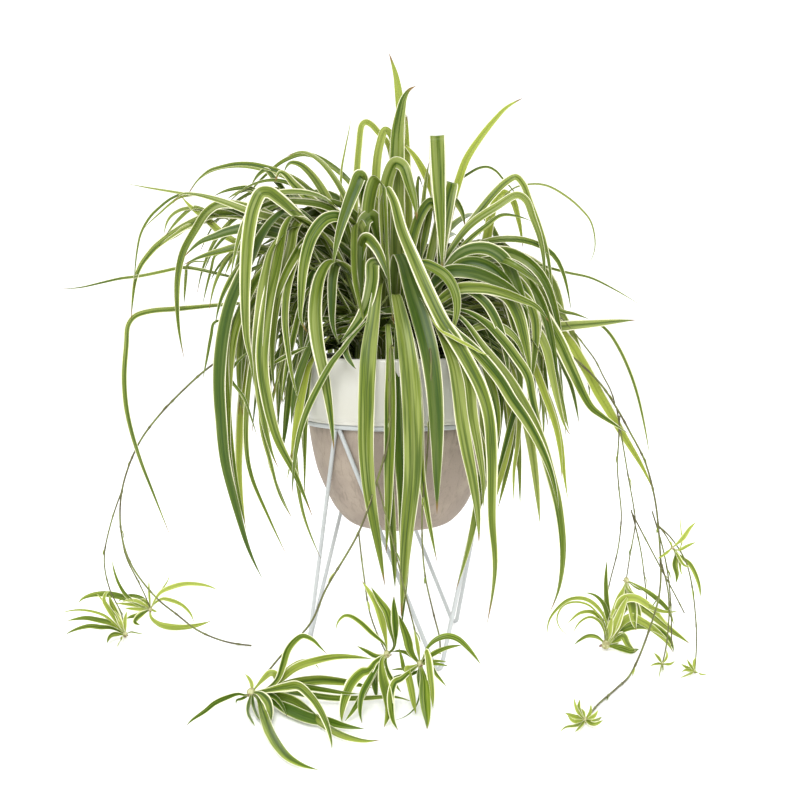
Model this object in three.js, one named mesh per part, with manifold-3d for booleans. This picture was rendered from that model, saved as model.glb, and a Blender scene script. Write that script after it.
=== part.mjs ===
import * as THREE from 'three'
import { mergeVertices } from 'three/addons/utils/BufferGeometryUtils.js'
import Module from 'manifold-3d'

// A spider plant in a two-tone ceramic pot that hangs in a wire stand.
// Millimetres, +Z up, floor at z = 0.
// An azimuth is in degrees, 0 at the front (-Y), 90 at the right (+X).

// Wire stand: a ring on three hairpin legs
const RING_HEIGHT = 240
const RING_RADIUS = 99.5
const RING_WIRE = 4.5
const LEG_WIRE = 3.6
const LEG_TOP_RADIUS = 100.5
const LEG_SPREAD = 60
const FOOT_RADIUS = 99
const FOOT_BEND_RADIUS = 4.2
const FOOT_AZIMUTHS = { left: 262, front: 22, back: 142 }
const FOOT_BEND_STEPS = [-75, -40, 0, 40, 75]
const LEG_PAIR_GAP = 2.4
const FOOT_FLAT = 0.3
const WIRE_SIDES = 6

// Pot: white band on top of a rounded body, with a ledge between them that rests on the ring
const TOUCH_GAP = 0.3
const RIM_HEIGHT = 308.5
const RIM_RADIUS = 103
const RIM_ROUNDING = { across: 1.5, down: 2 }
const BAND_FOOT_RADIUS = 101
const BAND_TAPER = RIM_RADIUS - BAND_FOOT_RADIUS
const BODY_TOP_RADIUS = 96.5
const POT_BOTTOM = 128
const WALL = 6
const ROUND_STEPS = 36
const LEDGE_HEIGHT = RING_HEIGHT + RING_WIRE / 2 + TOUCH_GAP
// Outside and inside of the rounded body from the foot up, as [radius, height]
const BODY_OUTSIDE = [[36, 128], [53, 133], [68, 148], [79.5, 170], [87.5, 190], [92.6, 212],
  [95.6, 232]]
const BODY_INSIDE = [[30, 134], [48, 140], [74, 172], [87, 212]]
const THROAT = { low: 6, high: 8 }

// Soil, a little inside the wall
const SOIL_HEIGHT = 292
const SOIL_MOUND = { radius: 60, height: 3 }
const SOIL_INSET = 0.5
const BIT_PAST = 20
const CROWN_SIDES = 16
const STEM_HOLE_SIDES = 8

// Crown that all the leaves grow from, set in a round hole in the soil, as [radius, height]
const CROWN_RADIUS = 46
const CROWN_FOOT = 278
const CROWN = [[0, 278], [46, 278], [46, 294], [43.7, 345], [34.5, 385], [0, 420]]

// Leaves: how many fill the tuft, how they spread, and their cross-section
const LEAF_COUNT = 96
const UPRIGHT_COUNT = 14
const SEED = 20417
const ROOT_HEIGHT = 300
const RISE_STEPS = [0, 50, 90]
const FALL_STEPS = [38, 68, 90]
const RIM_CLEARANCE = { outer: 112, height: 328 }
const GOLDEN_ANGLE = 137.508
const RUNNER_LANES = [-93, 87]
const LANE_WIDTH = 8
const ROOT_SHARE = 0.3
const FULL_WIDTH_AT = 0.45
const KEEL_SHARE = 0.16
const LEAST_KEEL = 0.9

// Runners and the plantlets on them
const STEM_SIDES = 5
const STEPS_PER_POINT = 1.6
const BRANCH_SHARE = 0.7
const STEM_LANE_WIDTH = 32
const SETTLE_HEIGHT = 3
const HEART_GAP = 0.38
const SCRAP_VOLUME = 2

const POLISHED = { roughness: 0.35, metalness: 0 }
const MATT = { roughness: 0.75, metalness: 0 }
const COLOURS = {
  glaze: 0xe6e3dc, soil: 0x3d2f26, wire: 0xe9e9e6, leaf: 0x4f7a2a, stem: 0x55533a, plantlet: 0x6f9a3c,
}

const wasm = await Module()
wasm.setup()

function polar([azimuth, radius, height]) {
  const turn = THREE.MathUtils.degToRad(azimuth)
  return new THREE.Vector3(radius * Math.sin(turn), -radius * Math.cos(turn), height)
}

function seededRandom(seed) {
  let state = seed >>> 0
  return (low, high) => {
    state = (Math.imul(state, 1664525) + 1013904223) >>> 0
    return low + (high - low) * (state / 4294967296)
  }
}

function toSolid(geometry) {
  const bare = geometry.clone()
  bare.deleteAttribute('normal')
  bare.deleteAttribute('uv')
  const welded = mergeVertices(bare, 1e-5)
  return new wasm.Manifold(new wasm.Mesh({
    numProp: 3,
    vertProperties: new Float32Array(welded.attributes.position.array),
    triVerts: new Uint32Array(welded.index.array),
  }))
}

function toGeometry(solid) {
  const mesh = solid.getMesh()
  const geometry = new THREE.BufferGeometry()
  geometry.setAttribute('position', new THREE.BufferAttribute(mesh.vertProperties, 3))
  geometry.setIndex(new THREE.BufferAttribute(mesh.triVerts, 1))
  geometry.computeVertexNormals()
  return geometry
}

function fuse(geometries) {
  let solid = toSolid(geometries[0])
  for (const geometry of geometries.slice(1)) {
    solid = solid.add(toSolid(geometry))
  }
  const bodies = solid.decompose().sort((one, other) => other.volume() - one.volume())
  if (bodies.length > 1 && bodies[1].volume() > SCRAP_VOLUME) {
    throw new Error('a leaf or stem hangs loose')
  }
  return toGeometry(bodies[0])
}

function cut(geometry, cutters) {
  let solid = toSolid(geometry)
  for (const cutter of cutters) solid = solid.subtract(toSolid(cutter))
  return toGeometry(solid)
}

function closedLathe(profile, steps = ROUND_STEPS) {
  const outline = profile.map(([radius, height]) => new THREE.Vector2(radius, height))
  const lathe = new THREE.LatheGeometry(outline, steps)
  lathe.rotateX(Math.PI / 2)
  const bare = lathe.clone()
  bare.deleteAttribute('normal')
  bare.deleteAttribute('uv')
  const welded = mergeVertices(bare, 1e-4)
  const index = []
  const source = welded.index.array
  for (let i = 0; i < source.length; i += 3) {
    const [a, b, c] = [source[i], source[i + 1], source[i + 2]]
    if (a !== b && b !== c && c !== a) index.push(a, b, c)
  }
  welded.setIndex(index)
  return welded
}

function tube(points, diameter, sides, steps) {
  const section = new THREE.Shape()
  for (let i = 0; i < sides; i++) {
    const turn = (2 * Math.PI * i) / sides
    const [x, y] = [0.5 * diameter * Math.cos(turn), 0.5 * diameter * Math.sin(turn)]
    if (i === 0) section.moveTo(x, y)
    else section.lineTo(x, y)
  }
  section.closePath()
  const path = new THREE.CatmullRomCurve3(points, false, 'centripetal')
  const settings = { steps, extrudePath: path, bevelEnabled: false, curveSegments: 1 }
  return new THREE.ExtrudeGeometry(section, settings)
}

// Hand-set leaves: width, twist at the tip in degrees, then the rib as [azimuth, radius, height]
const SET_LEAVES = [
  // hanging over the front of the pot
  [20, 10, [-55, 30, 300], [-50, 62, 372], [-42, 104, 412], [-38, 134, 398], [-38, 142, 350],
    [-37, 129, 289], [-34, 115, 222]],
  [22, -12, [-6, 32, 300], [-4, 66, 384], [-1, 100, 408], [2, 122, 380], [6, 130, 300], [7, 136, 214],
    [5, 141, 139], [1, 141, 68]],
  [18, 14, [-24, 30, 300], [-18, 62, 392], [-12, 96, 418], [-11, 120, 392], [-13, 128, 320],
    [-14, 132, 240], [-10, 136, 160], [-6, 138, 92]],
  [22, 8, [18, 32, 300], [12, 66, 390], [10, 100, 418], [11, 120, 388], [15, 124, 320], [18, 127, 240],
    [18, 129, 190], [17, 131, 160]],
  [16, -10, [40, 30, 300], [32, 66, 382], [26, 100, 402], [25, 120, 370], [28, 124, 310],
    [30, 127, 250], [31, 129, 208]],
  [14, 12, [48, 30, 300], [44, 66, 376], [40, 100, 398], [38, 118, 362], [40, 124, 300], [43, 130, 230],
    [44, 134, 170], [45, 136, 112], [40, 131, 43]],
  [12, 15, [-47, 32, 300], [-47, 74, 362], [-47, 112, 372], [-47, 130, 320], [-47, 134, 250],
    [-46, 132, 180]],
  // hanging at the left
  [20, -8, [-48, 30, 300], [-52, 62, 400], [-54, 104, 448], [-55, 138, 438], [-55, 160, 383],
    [-55, 166, 330], [-54, 161, 262], [-48, 136, 165]],
  [20, 12, [-64, 28, 300], [-65, 60, 410], [-65, 112, 470], [-65, 150, 474], [-66, 172, 425],
    [-66, 174, 347], [-66, 164, 286], [-65, 158, 240]],
  [16, -14, [-76, 30, 300], [-74, 75, 380], [-71, 130, 422], [-70, 170, 408], [-70, 192, 347],
    [-70, 197, 287], [-70, 187, 210], [-62, 157, 88]],
  [10, 18, [-58, 30, 300], [-60, 80, 372], [-61, 130, 392], [-61, 160, 350], [-61, 168, 280],
    [-60, 160, 210], [-54, 140, 150], [-48, 128, 118]],
  [13, 6, [-84, 26, 300], [-84, 76, 440], [-84, 130, 492], [-84, 184, 476], [-84, 216, 420],
    [-84, 228, 350], [-84, 226, 300]],
  [12, -10, [-78, 28, 300], [-78, 84, 425], [-78, 140, 462], [-78, 190, 440], [-78, 212, 384],
    [-78, 222, 330], [-77, 224, 280]],
  // long thin leaves that reach out at the left
  [10, 20, [-92, 26, 300], [-93, 90, 430], [-94, 160, 486], [-95, 226, 480], [-96, 268, 440],
    [-96, 287, 400], [-96, 290, 350], [-96, 288, 300]],
  [9, 15, [-90, 32, 300], [-90, 90, 362], [-89, 190, 364], [-88, 276, 350], [-88, 285, 342],
    [-88, 290, 309], [-88, 286, 244], [-88, 280, 209], [-88, 263, 169], [-88, 239, 116]],
  [14, -12, [-104, 24, 300], [-103, 76, 458], [-102, 120, 500], [-101, 163, 512], [-100, 200, 500],
    [-99, 229, 478]],
  [7, 25, [-97, 30, 300], [-97, 120, 415], [-98, 200, 425], [-98, 290, 396], [-97, 368, 381]],
  [7, 20, [-108, 26, 300], [-108, 100, 440], [-107, 170, 484], [-106, 230, 493], [-105, 290, 489]],
  // arching and hanging at the right
  [20, 10, [78, 28, 300], [80, 58, 390], [80, 92, 425], [80, 112, 424], [80, 146, 386], [80, 180, 334],
    [80, 198, 284], [80, 213, 248], [80, 247, 232]],
  [14, -16, [56, 34, 300], [54, 66, 350], [52, 98, 354], [55, 118, 326], [57, 137, 268], [62, 157, 222],
    [63, 181, 164], [63, 188, 120], [63, 183, 82], [63, 168, 51]],
  [16, 8, [68, 28, 300], [68, 70, 410], [68, 112, 452], [68, 156, 432], [68, 190, 370], [68, 206, 300],
    [68, 212, 236]],
  [12, 12, [98, 26, 300], [98, 80, 455], [98, 120, 500], [98, 152, 500], [98, 172, 450],
    [98, 178, 390]],
  [14, -8, [74, 30, 300], [73, 86, 384], [72, 130, 400], [71, 168, 370], [70, 196, 310], [70, 210, 250],
    [70, 214, 196]],
  [12, 14, [50, 32, 300], [50, 74, 366], [50, 112, 378], [51, 138, 330], [53, 152, 262], [55, 164, 190],
    [56, 170, 120], [56, 166, 70]],
  // long thin leaves that reach out at the right
  [6, 20, [104, 26, 300], [104, 70, 440], [103, 110, 520], [102, 162, 560], [101, 195, 520],
    [100, 212, 465], [100, 214, 415]],
  [12, -10, [92, 32, 300], [91, 90, 375], [91, 150, 385], [91, 200, 365], [91, 248, 346]],
  [8, 16, [84, 30, 300], [84, 90, 395], [84, 160, 402], [85, 212, 352], [85, 245, 290], [85, 264, 215]],
  [8, -12, [97, 30, 300], [96, 100, 410], [95, 170, 420], [95, 215, 395], [95, 250, 370]],
  // upright in the middle, two of them folded over at the top
  [12, 20, [200, 12, 300], [200, 10, 380], [220, 8, 470], [250, 10, 560], [270, 13, 626]],
  [18, 0, [0, 16, 300], [0, 18, 400], [-8, 20, 475], [-8, 24, 560], [10, 28, 580], [28, 34, 594]],
  [15, 5, [75, 26, 300], [76, 36, 380], [76, 44, 470], [76, 43, 538], [84, 46, 541], [120, 50, 520],
    [130, 56, 455]],
  [8, 30, [120, 12, 300], [110, 16, 400], [100, 18, 480], [85, 20, 558]],
  [18, 0, [-25, 20, 300], [-22, 40, 400], [-18, 56, 480], [-16, 64, 488], [-14, 70, 480], [-9, 76, 408],
    [-5, 84, 350]],
  [8, -20, [-95, 20, 300], [-95, 34, 400], [-95, 42, 480], [-95, 45, 551]],
  [9, 25, [-70, 14, 300], [-75, 18, 420], [-80, 22, 500], [-85, 24, 546]],
  [10, 10, [88, 20, 300], [88, 40, 400], [88, 60, 483], [88, 92, 540], [88, 132, 579]],
]

// Runner stems: diameter, then the points of the main stem and of each branch as [x, y, z]
const RUNNERS = {
  runner_left: {
    diameter: 3,
    main: [[-82, 3, 280], [-82, 3, 300], [-92, 4, 320], [-124, 6, 334], [-160, 8, 324], [-197, 10, 299],
      [-218, 12, 282],
      [-259, 14, 240], [-280, 15, 209], [-295, 14, 164], [-295, 10, 122], [-283, 4, 88], [-256, 0, 54],
        [-233, -2, 36],
      [-212, -2, 20], [-185, 0, 8], [-156, 4, 2]],
    branches: [
      [[-295, 14, 164], [-308, 18, 128], [-317, 26, 88], [-313, 34, 54], [-301, 36, 27], [-294, 24, 8]],
      [[-295, 10, 122], [-293, 26, 90], [-284, 40, 62], [-277, 45, 44], [-272, 48, 29]],
    ],
  },
  runner_front: {
    diameter: 3,
    main: [[-4, -80, 280], [-4, -80, 300], [-6, -92, 320], [-8, -111, 318], [-9, -115, 280],
      [-10, -115, 233], [-21, -117, 193],
      [-38, -124, 146], [-68, -140, 96], [-81, -150, 68], [-110, -164, 38], [-132, -181, 13]],
    branches: [
      [[-38, -124, 146], [-33, -138, 110], [-26, -154, 75], [-11, -172, 45]],
      [[-21, -117, 193], [-6, -132, 140], [7, -150, 90], [16, -160, 56], [19, -168, 35]],
    ],
  },
  runner_front_right: {
    diameter: 2.4,
    main: [[22, -77, 280], [22, -77, 300], [25, -89, 320], [30, -108, 317], [30, -112, 280],
      [27, -112, 220], [22, -116, 160],
      [24, -126, 110], [32, -142, 74], [37, -158, 56], [37, -171, 45]],
    branches: [],
  },
  runner_right: {
    diameter: 3,
    main: [[82, -9, 280], [82, -9, 300], [92, -9, 320], [128, -9, 335], [165, -10, 319],
      [207, -10, 283], [227, -11, 254],
      [240, -13, 230], [255, -16, 200], [264, -20, 165], [266, -30, 135], [261, -60, 77],
        [242, -88, 38], [222, -112, 10],
      [203, -136, 2.6], [178, -180, 2.4], [159, -226, 4]],
    branches: [
      [[266, -30, 135], [278, -46, 122], [288, -62, 100], [293, -76, 45], [288, -90, 4]],
      [[264, -48, 104], [270, -58, 70], [268, -62, 30], [262, -66, 4]],
      [[240, -13, 230], [246, -14, 180], [242, -18, 138], [235, -23, 100], [234, -26, 78]],
      [[227, -11, 254], [228, -2, 200], [224, 4, 140], [212, 4, 80], [205, 0, 40], [214, -20, 10]],
      [[266, -30, 135], [271, -43, 127], [275, -53, 117]],
    ],
  },
}

// Plantlets that rest on the floor or hang just above it: the place and radius of each rosette's heart,
// then its leaves, set as on the tuft but from the heart
const PLANTLETS = {
  plantlet_left: [{
    at: [-294, 24, 8], heart: 6,
    leaves: [
      [6, 10, [-100, 2, 1], [-98, 12, 8], [-95, 27, 15], [-92, 46, 17], [-90, 64, 13]],
      [5, -8, [-85, 2, 0], [-84, 20, 7], [-83, 35, 8], [-82, 50, 7], [-82, 66, 0]],
      [3, 12, [-92, 2, 3], [-92, 24, 18], [-91, 39, 24], [-90, 56, 26], [-90, 74, 22]],
      [4, 20, [-70, 2, 3], [-70, 22, 21], [-72, 26, 36], [-75, 18, 45]],
      [6, 0, [-50, 2, 3], [-50, 14, 21], [-55, 20, 40]],
      [4, 0, [40, 2, 2], [35, 4, 14], [30, 5, 24]],
      [3, 0, [-10, 2, 0], [-10, 14, -3], [-8, 25, -8]],
      [3.5, 0, [-45, 2, 0], [-45, 16, -1], [-42, 24, -8]],
    ],
  }],
  plantlet_left_inner: [{
    at: [-272, 48, 29], heart: 5,
    leaves: [
      [6, -15, [95, 2, 3], [95, 21, 20], [95, 44, 26], [95, 68, 23], [95, 83, 15]],
      [4, 10, [75, 2, 2], [75, 24, 10], [75, 36, 3], [75, 47, -15]],
      [7, 10, [60, 2, -1], [58, 15, -13], [64, 34, -18], [70, 54, -17], [74, 70, -12]],
      [3, 0, [0, 1, 2], [0, 3, 18], [-20, 3, 29]],
      [3, 0, [120, 1, 2], [115, 12, 22], [112, 22, 37]],
      [5, 15, [-105, 2, 1], [-104, 18, 8], [-103, 29, 18], [-102, 41, 40]],
      [5, 0, [-78, 2, 0], [-78, 20, 8], [-78, 39, 6]],
      [7, -12, [-92, 2, 2], [-92, 22, 10], [-92, 41, 13], [-91, 59, 14], [-90, 80, 7]],
      [4, 0, [170, 2, 0], [165, 14, -8], [160, 24, -28]],
    ],
  }],
  plantlet_front_left: [{
    at: [-132, -181, 13], heart: 8,
    leaves: [
      [9, 12, [-50, 3, 2], [-48, 22, 12], [-47, 44, 7], [-46, 68, -12]],
      [13, -10, [30, 3, 0], [24, 26, 4], [24, 52, -4], [25, 90, -10], [26, 130, -11], [28, 158, -12]],
      [13, 10, [52, 3, 2], [54, 34, 12], [55, 66, 2], [56, 100, -8], [57, 142, -12]],
      [11, 6, [66, 3, 0], [65, 40, 0], [63, 80, -6], [62, 118, -12]],
      [11, -14, [58, 3, 4], [52, 55, 20], [50, 79, 7], [46, 100, -6], [40, 125, -12]],
      [9, 10, [98, 3, 3], [98, 22, 14], [99, 40, 20], [100, 63, 24], [101, 108, 22]],
      [10, 8, [78, 3, 1], [79, 47, 13], [84, 67, 14], [88, 90, 8], [92, 112, -2], [94, 140, -12]],
      [9, 0, [74, 3, -2], [75, 60, -4], [76, 95, -11]],
      [7, 15, [96, 4, 5], [102, 28, 34], [102, 46, 47], [101, 67, 32]],
      [8, 0, [5, 3, 3], [4, 14, 18], [2, 26, 10], [0, 34, -11]],
      [7, 0, [-8, 3, 1], [-6, 20, 4], [-5, 46, -12]],
      [6, 0, [-80, 3, 1], [-80, 18, 2], [-80, 34, -12]],
      [8, 8, [150, 3, 2], [155, 30, 16], [158, 58, 2]],
    ],
  }],
  plantlet_front: [
    {
      at: [-11, -172, 45], heart: 6,
      leaves: [
        [6, 10, [-85, 2, 3], [-85, 15, 24], [-84, 30, 33], [-83, 39, 35], [-80, 46, 22]],
        [6, 10, [-80, 2, 3], [-70, 5, 31], [-75, 12, 49], [-78, 22, 65]],
        [9, -10, [30, 2, 3], [20, 6, 33], [-60, 8, 48], [-70, 14, 59]],
        [9, 0, [60, 3, -8], [65, 6, 20], [65, 7, 51]],
        [7, 0, [-20, 2, 0], [-20, 16, 6], [-20, 28, -6], [-18, 32, -20]],
        [9, 8, [-60, 2, 1], [-35, 22, 8], [-30, 36, -6], [-25, 42, -30]],
        [10, -6, [0, 2, 1], [5, 24, 2], [5, 44, -18], [2, 56, -44]],
        [11, 10, [-70, 2, -1], [-62, 20, -2], [-52, 37, -17], [-40, 54, -31], [-31, 60, -44]],
        [7, 0, [-50, 2, -2], [-46, 28, -20], [-40, 54, -44]],
        [7, 8, [20, 2, -3], [10, 30, -22], [8, 44, -34], [12, 60, -44]],
        [5, 0, [-98, 2, 0], [-98, 16, 8], [-98, 27, 7]],
        [6, 0, [175, 2, 0], [170, 16, 4], [165, 24, -12]],
      ],
    },
  ],
  plantlet_front_right: [
    {
      at: [19, -168, 35], heart: 6,
      leaves: [
        [12, 0, [20, 2, 2], [15, 18, 17], [6, 42, -10], [5, 65, -34]],
        [10, 0, [45, 2, 2], [40, 18, 16], [30, 32, -2], [25, 50, -22]],
        [8, 0, [-40, 2, 1], [-30, 24, 6], [-15, 36, -8], [-8, 52, -28]],
        [8, 14, [85, 2, 2], [86, 22, 25], [87, 37, 21], [88, 55, 0]],
        [7, 0, [75, 2, 1], [78, 25, 12], [80, 40, 16]],
        [5, 0, [60, 2, -1], [60, 18, -8], [58, 34, -24]],
        [6, 0, [-100, 2, -1], [-95, 16, -4], [-90, 27, -14]],
        [5, 0, [-70, 1, 3], [-60, 5, 18], [-50, 7, 31]],
        [5, 0, [-10, 2, -3], [-12, 30, -30], [-28, 50, -34]],
        [6, 0, [120, 2, 0], [125, 20, -2], [130, 34, -22]],
      ],
    },
    {
      at: [37, -171, 45], heart: 4,
      leaves: [
        [3, 0, [60, 1, 0], [60, 8, 4], [60, 14, 5]],
        [3, 0, [0, 1, 0], [0, 8, 3], [0, 13, 0]],
      ],
    },
  ],
  plantlets_right: [
    {
      at: [214, -20, 10], heart: 8,
      leaves: [
        [6, 0, [90, 2, 4], [80, 5, 30], [20, 3, 55], [0, 4, 87]],
        [4, 10, [-90, 2, 4], [-90, 8, 40], [-90, 26, 49], [-88, 48, 39], [-86, 59, 24], [-85, 61, 9]],
        [3, 10, [-80, 2, 4], [-78, 37, 44], [-75, 50, 34], [-72, 51, 22], [-66, 42, 8]],
        [4, 0, [-104, 2, 4], [-104, 8, 41], [-104, 15, 51], [-102, 24, 54]],
        [5, 0, [-70, 2, 3], [-70, 14, 36], [-68, 27, 34], [-66, 42, 23]],
        [5, 0, [-50, 2, 3], [-48, 12, 28], [-48, 22, 27], [-48, 38, 11]],
        [5, 0, [-60, 2, 2], [-60, 18, 8], [-60, 30, 6], [-58, 38, -3]],
        [8, 10, [70, 2, 2], [72, 27, 17], [74, 43, 18], [76, 65, 6], [76, 72, -6]],
        [9, 0, [88, 2, 4], [88, 20, 46], [88, 33, 43], [88, 50, 27], [88, 61, 11]],
        [9, -8, [98, 2, 3], [96, 36, 27], [95, 57, 18], [95, 73, 13], [94, 86, 3]],
        [7, 0, [60, 2, -1], [62, 18, -6], [62, 34, -9]],
        [8, 0, [108, 2, 2], [108, 24, 16], [108, 46, 14]],
        [8, 6, [58, 2, 4], [60, 10, 38], [58, 20, 51], [56, 38, 38]],
        [7, 0, [20, 2, 3], [22, 9, 32], [24, 26, 36], [26, 42, 14]],
        [6, 0, [-20, 2, 3], [-18, 12, 26], [-14, 28, 22], [-10, 40, -4]],
      ],
    },
    {
      at: [234, -26, 78], heart: 5,
      leaves: [
        [8, 0, [90, 2, 1], [88, 24, -7], [86, 42, -23], [84, 50, -42]],
        [5, 0, [70, 2, 0], [72, 22, -22], [74, 41, -31], [76, 54, -31]],
        [8, 0, [50, 2, -1], [55, 15, -24], [60, 30, -42], [62, 46, -54]],
        [7, 0, [20, 2, -2], [20, 8, -26], [20, 10, -50]],
        [7, 0, [-60, 2, -2], [-62, 9, -26], [-64, 12, -52]],
        [5, 0, [120, 2, 1], [118, 16, 6], [116, 34, -10]],
      ],
    },
  ],
  plantlet_right_hanging: [{
    at: [275, -53, 117], heart: 3.5,
    leaves: [
      [2.5, 0, [0, 1, 1], [40, 4, 18], [20, 3, 44]],
      [5, 0, [88, 1, 1], [88, 9, 12], [88, 18, 28]],
      [4, 0, [-20, 1, 0], [-20, 5, -14], [0, 4, -34]],
      [3.5, 0, [30, 1, 0], [30, 6, -10], [32, 8, -24]],
      [4.5, 10, [62, 1, 0], [64, 16, -2], [66, 26, -18], [66, 27, -46]],
      [3, 0, [40, 1, 0], [44, 12, -4], [46, 20, -12]],
      [3, 0, [-90, 1, 0], [-90, 8, -2], [-90, 14, -10]],
    ],
  }],
  plantlet_right_low: [{
    at: [262, -66, 4], heart: 3.5,
    leaves: seededRosette({ count: 6, reach: 24, width: 4, lean: 0, stem: 180, seed: 11 }),
  }],
  plantlet_right_outer: [{
    at: [288, -90, 4], heart: 3.5,
    leaves: seededRosette({ count: 6, reach: 22, width: 4, lean: 40, stem: 160, seed: 12 }),
  }],
  plantlet_right_front: [{
    at: [159, -226, 5], heart: 4.5,
    leaves: seededRosette({ count: 10, reach: 30, width: 5.5, lean: -30, stem: 158, seed: 13 }),
  }],
}

// Leaves of a small plantlet on the floor: a rosette that favours one side and leaves a lane for its stem
function seededRosette({ count, reach, width, lean, stem, seed }) {
  const draw = seededRandom(seed)
  return Array.from({ length: count }, (_, i) => {
    const azimuth = turnAside(lean + i * GOLDEN_ANGLE + draw(-15, 15), [stem], STEM_LANE_WIDTH)
    const favour = 0.75 + 0.25 * Math.cos(THREE.MathUtils.degToRad(azimuth - lean))
    const length = reach * favour * draw(0.75, 1)
    const lift = draw(0.15, 0.8)
    const shoulder = [azimuth, length * 0.5, length * 0.55 * lift]
    const leafWidth = width * draw(0.7, 1)
    const tip = [azimuth + draw(-12, 12), length, length * 0.9 * (lift - 0.3)]
    return [leafWidth, 0, [azimuth, 1, 0], shoulder, tip]
  })
}

function makePot() {
  const inner = RIM_RADIUS - WALL
  return closedLathe([
    [0, POT_BOTTOM], ...BODY_OUTSIDE, [BODY_TOP_RADIUS, LEDGE_HEIGHT], [BAND_FOOT_RADIUS, LEDGE_HEIGHT],
    [RIM_RADIUS - BAND_TAPER / 2, (LEDGE_HEIGHT + RIM_HEIGHT) / 2],
      [RIM_RADIUS, RIM_HEIGHT - RIM_ROUNDING.down],
    [RIM_RADIUS - RIM_ROUNDING.across, RIM_HEIGHT], [inner + RIM_ROUNDING.across, RIM_HEIGHT],
    [inner, RIM_HEIGHT - RIM_ROUNDING.down], [inner - BAND_TAPER, LEDGE_HEIGHT + THROAT.high],
    [BODY_TOP_RADIUS - WALL, LEDGE_HEIGHT - THROAT.low], ...BODY_INSIDE.toReversed(),
    [0, POT_BOTTOM + WALL],
  ])
}

function makeSoil() {
  const floor = POT_BOTTOM + WALL + SOIL_INSET
  const side = BODY_INSIDE.map(([radius, height]) => [radius - SOIL_INSET, height + SOIL_INSET])
  const throat = BODY_TOP_RADIUS - WALL - SOIL_INSET
  const edge = RIM_RADIUS - WALL - BAND_TAPER - SOIL_INSET
  const profile = [
    [0, floor], ...side, [throat, LEDGE_HEIGHT - THROAT.low], [edge, LEDGE_HEIGHT + THROAT.high],
    [edge, SOIL_HEIGHT - SOIL_MOUND.height], [SOIL_MOUND.radius, SOIL_HEIGHT],
    [0, SOIL_HEIGHT + SOIL_MOUND.height],
  ]
  const holes = [hole(0, 0, CROWN_RADIUS + TOUCH_GAP, CROWN_FOOT - TOUCH_GAP, CROWN_SIDES)]
  for (const { diameter, main } of Object.values(RUNNERS)) {
    const [x, y, z] = main[0]
    holes.push(hole(x, y, diameter / 2 + SOIL_INSET, z - TOUCH_GAP, STEM_HOLE_SIDES))
  }
  return cut(closedLathe(profile), holes)
}

// A plain round hole from a floor up past the top of the soil
function hole(x, y, radius, floor, sides) {
  const depth = SOIL_HEIGHT + BIT_PAST - floor
  return new THREE.CylinderGeometry(radius, radius, depth, sides).rotateX(Math.PI / 2)
    .translate(x, y, floor + depth / 2)
}

function makeRing() {
  return new THREE.TorusGeometry(RING_RADIUS, RING_WIRE / 2, WIRE_SIDES, ROUND_STEPS)
    .translate(0, 0, RING_HEIGHT)
}

// One leg: a wire bent like a hairpin, its two ends under the ring and its bend on the floor
function makeLeg(azimuth) {
  const top = RING_HEIGHT - RING_WIRE / 2 - TOUCH_GAP
  const radius = LEG_WIRE / 2
  const inward = THREE.MathUtils.radToDeg(LEG_PAIR_GAP / LEG_TOP_RADIUS)
  const ends = [-1, 1].map((side) => polar([azimuth + side * (LEG_SPREAD - inward), LEG_TOP_RADIUS, top]))
  const foot = polar([azimuth, FOOT_RADIUS, radius])
  const across = new THREE.Vector3().subVectors(ends[1], ends[0]).normalize()
  const middle = new THREE.Vector3().addVectors(ends[0], ends[1]).multiplyScalar(0.5)
  const rise = new THREE.Vector3().subVectors(middle, foot).normalize()
  const centre = foot.clone().addScaledVector(rise, FOOT_BEND_RADIUS)
  const points = [ends[0]]
  for (const turn of FOOT_BEND_STEPS) {
    const angle = THREE.MathUtils.degToRad(turn)
    points.push(centre.clone().addScaledVector(across, FOOT_BEND_RADIUS * Math.sin(angle))
      .addScaledVector(rise, -FOOT_BEND_RADIUS * Math.cos(angle)))
  }
  points.push(ends[1])
  const leg = wire(points, radius, WIRE_SIDES)
  leg.computeBoundingBox()
  leg.translate(0, 0, -leg.boundingBox.min.z - FOOT_FLAT)
  const ground = 4 * FOOT_RADIUS
  return cut(leg, [new THREE.BoxGeometry(ground, ground, BIT_PAST).translate(0, 0, -BIT_PAST / 2)])
}

// A bent wire: one section on the mitre plane of every corner
function wire(points, radius, sides) {
  const last = points.length - 1
  const heading = (from, to) => new THREE.Vector3().subVectors(points[to], points[from]).normalize()
  const plane = heading(0, 1).cross(heading(last - 1, last)).normalize()
  const sections = points.map((point, i) => {
    const before = heading(Math.max(i - 1, 0), Math.max(i, 1))
    const after = heading(Math.min(i, last - 1), Math.min(i + 1, last))
    const along = before.clone().add(after).normalize()
    const stretch = 1 / along.dot(after)
    const side = new THREE.Vector3().crossVectors(plane, along)
    return Array.from({ length: sides }, (_, k) => {
      const turn = (2 * Math.PI * (k + 0.5)) / sides
      return point.clone().addScaledVector(plane, radius * Math.cos(turn))
        .addScaledVector(side, radius * stretch * Math.sin(turn))
    })
  })
  return skin(sections)
}

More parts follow.
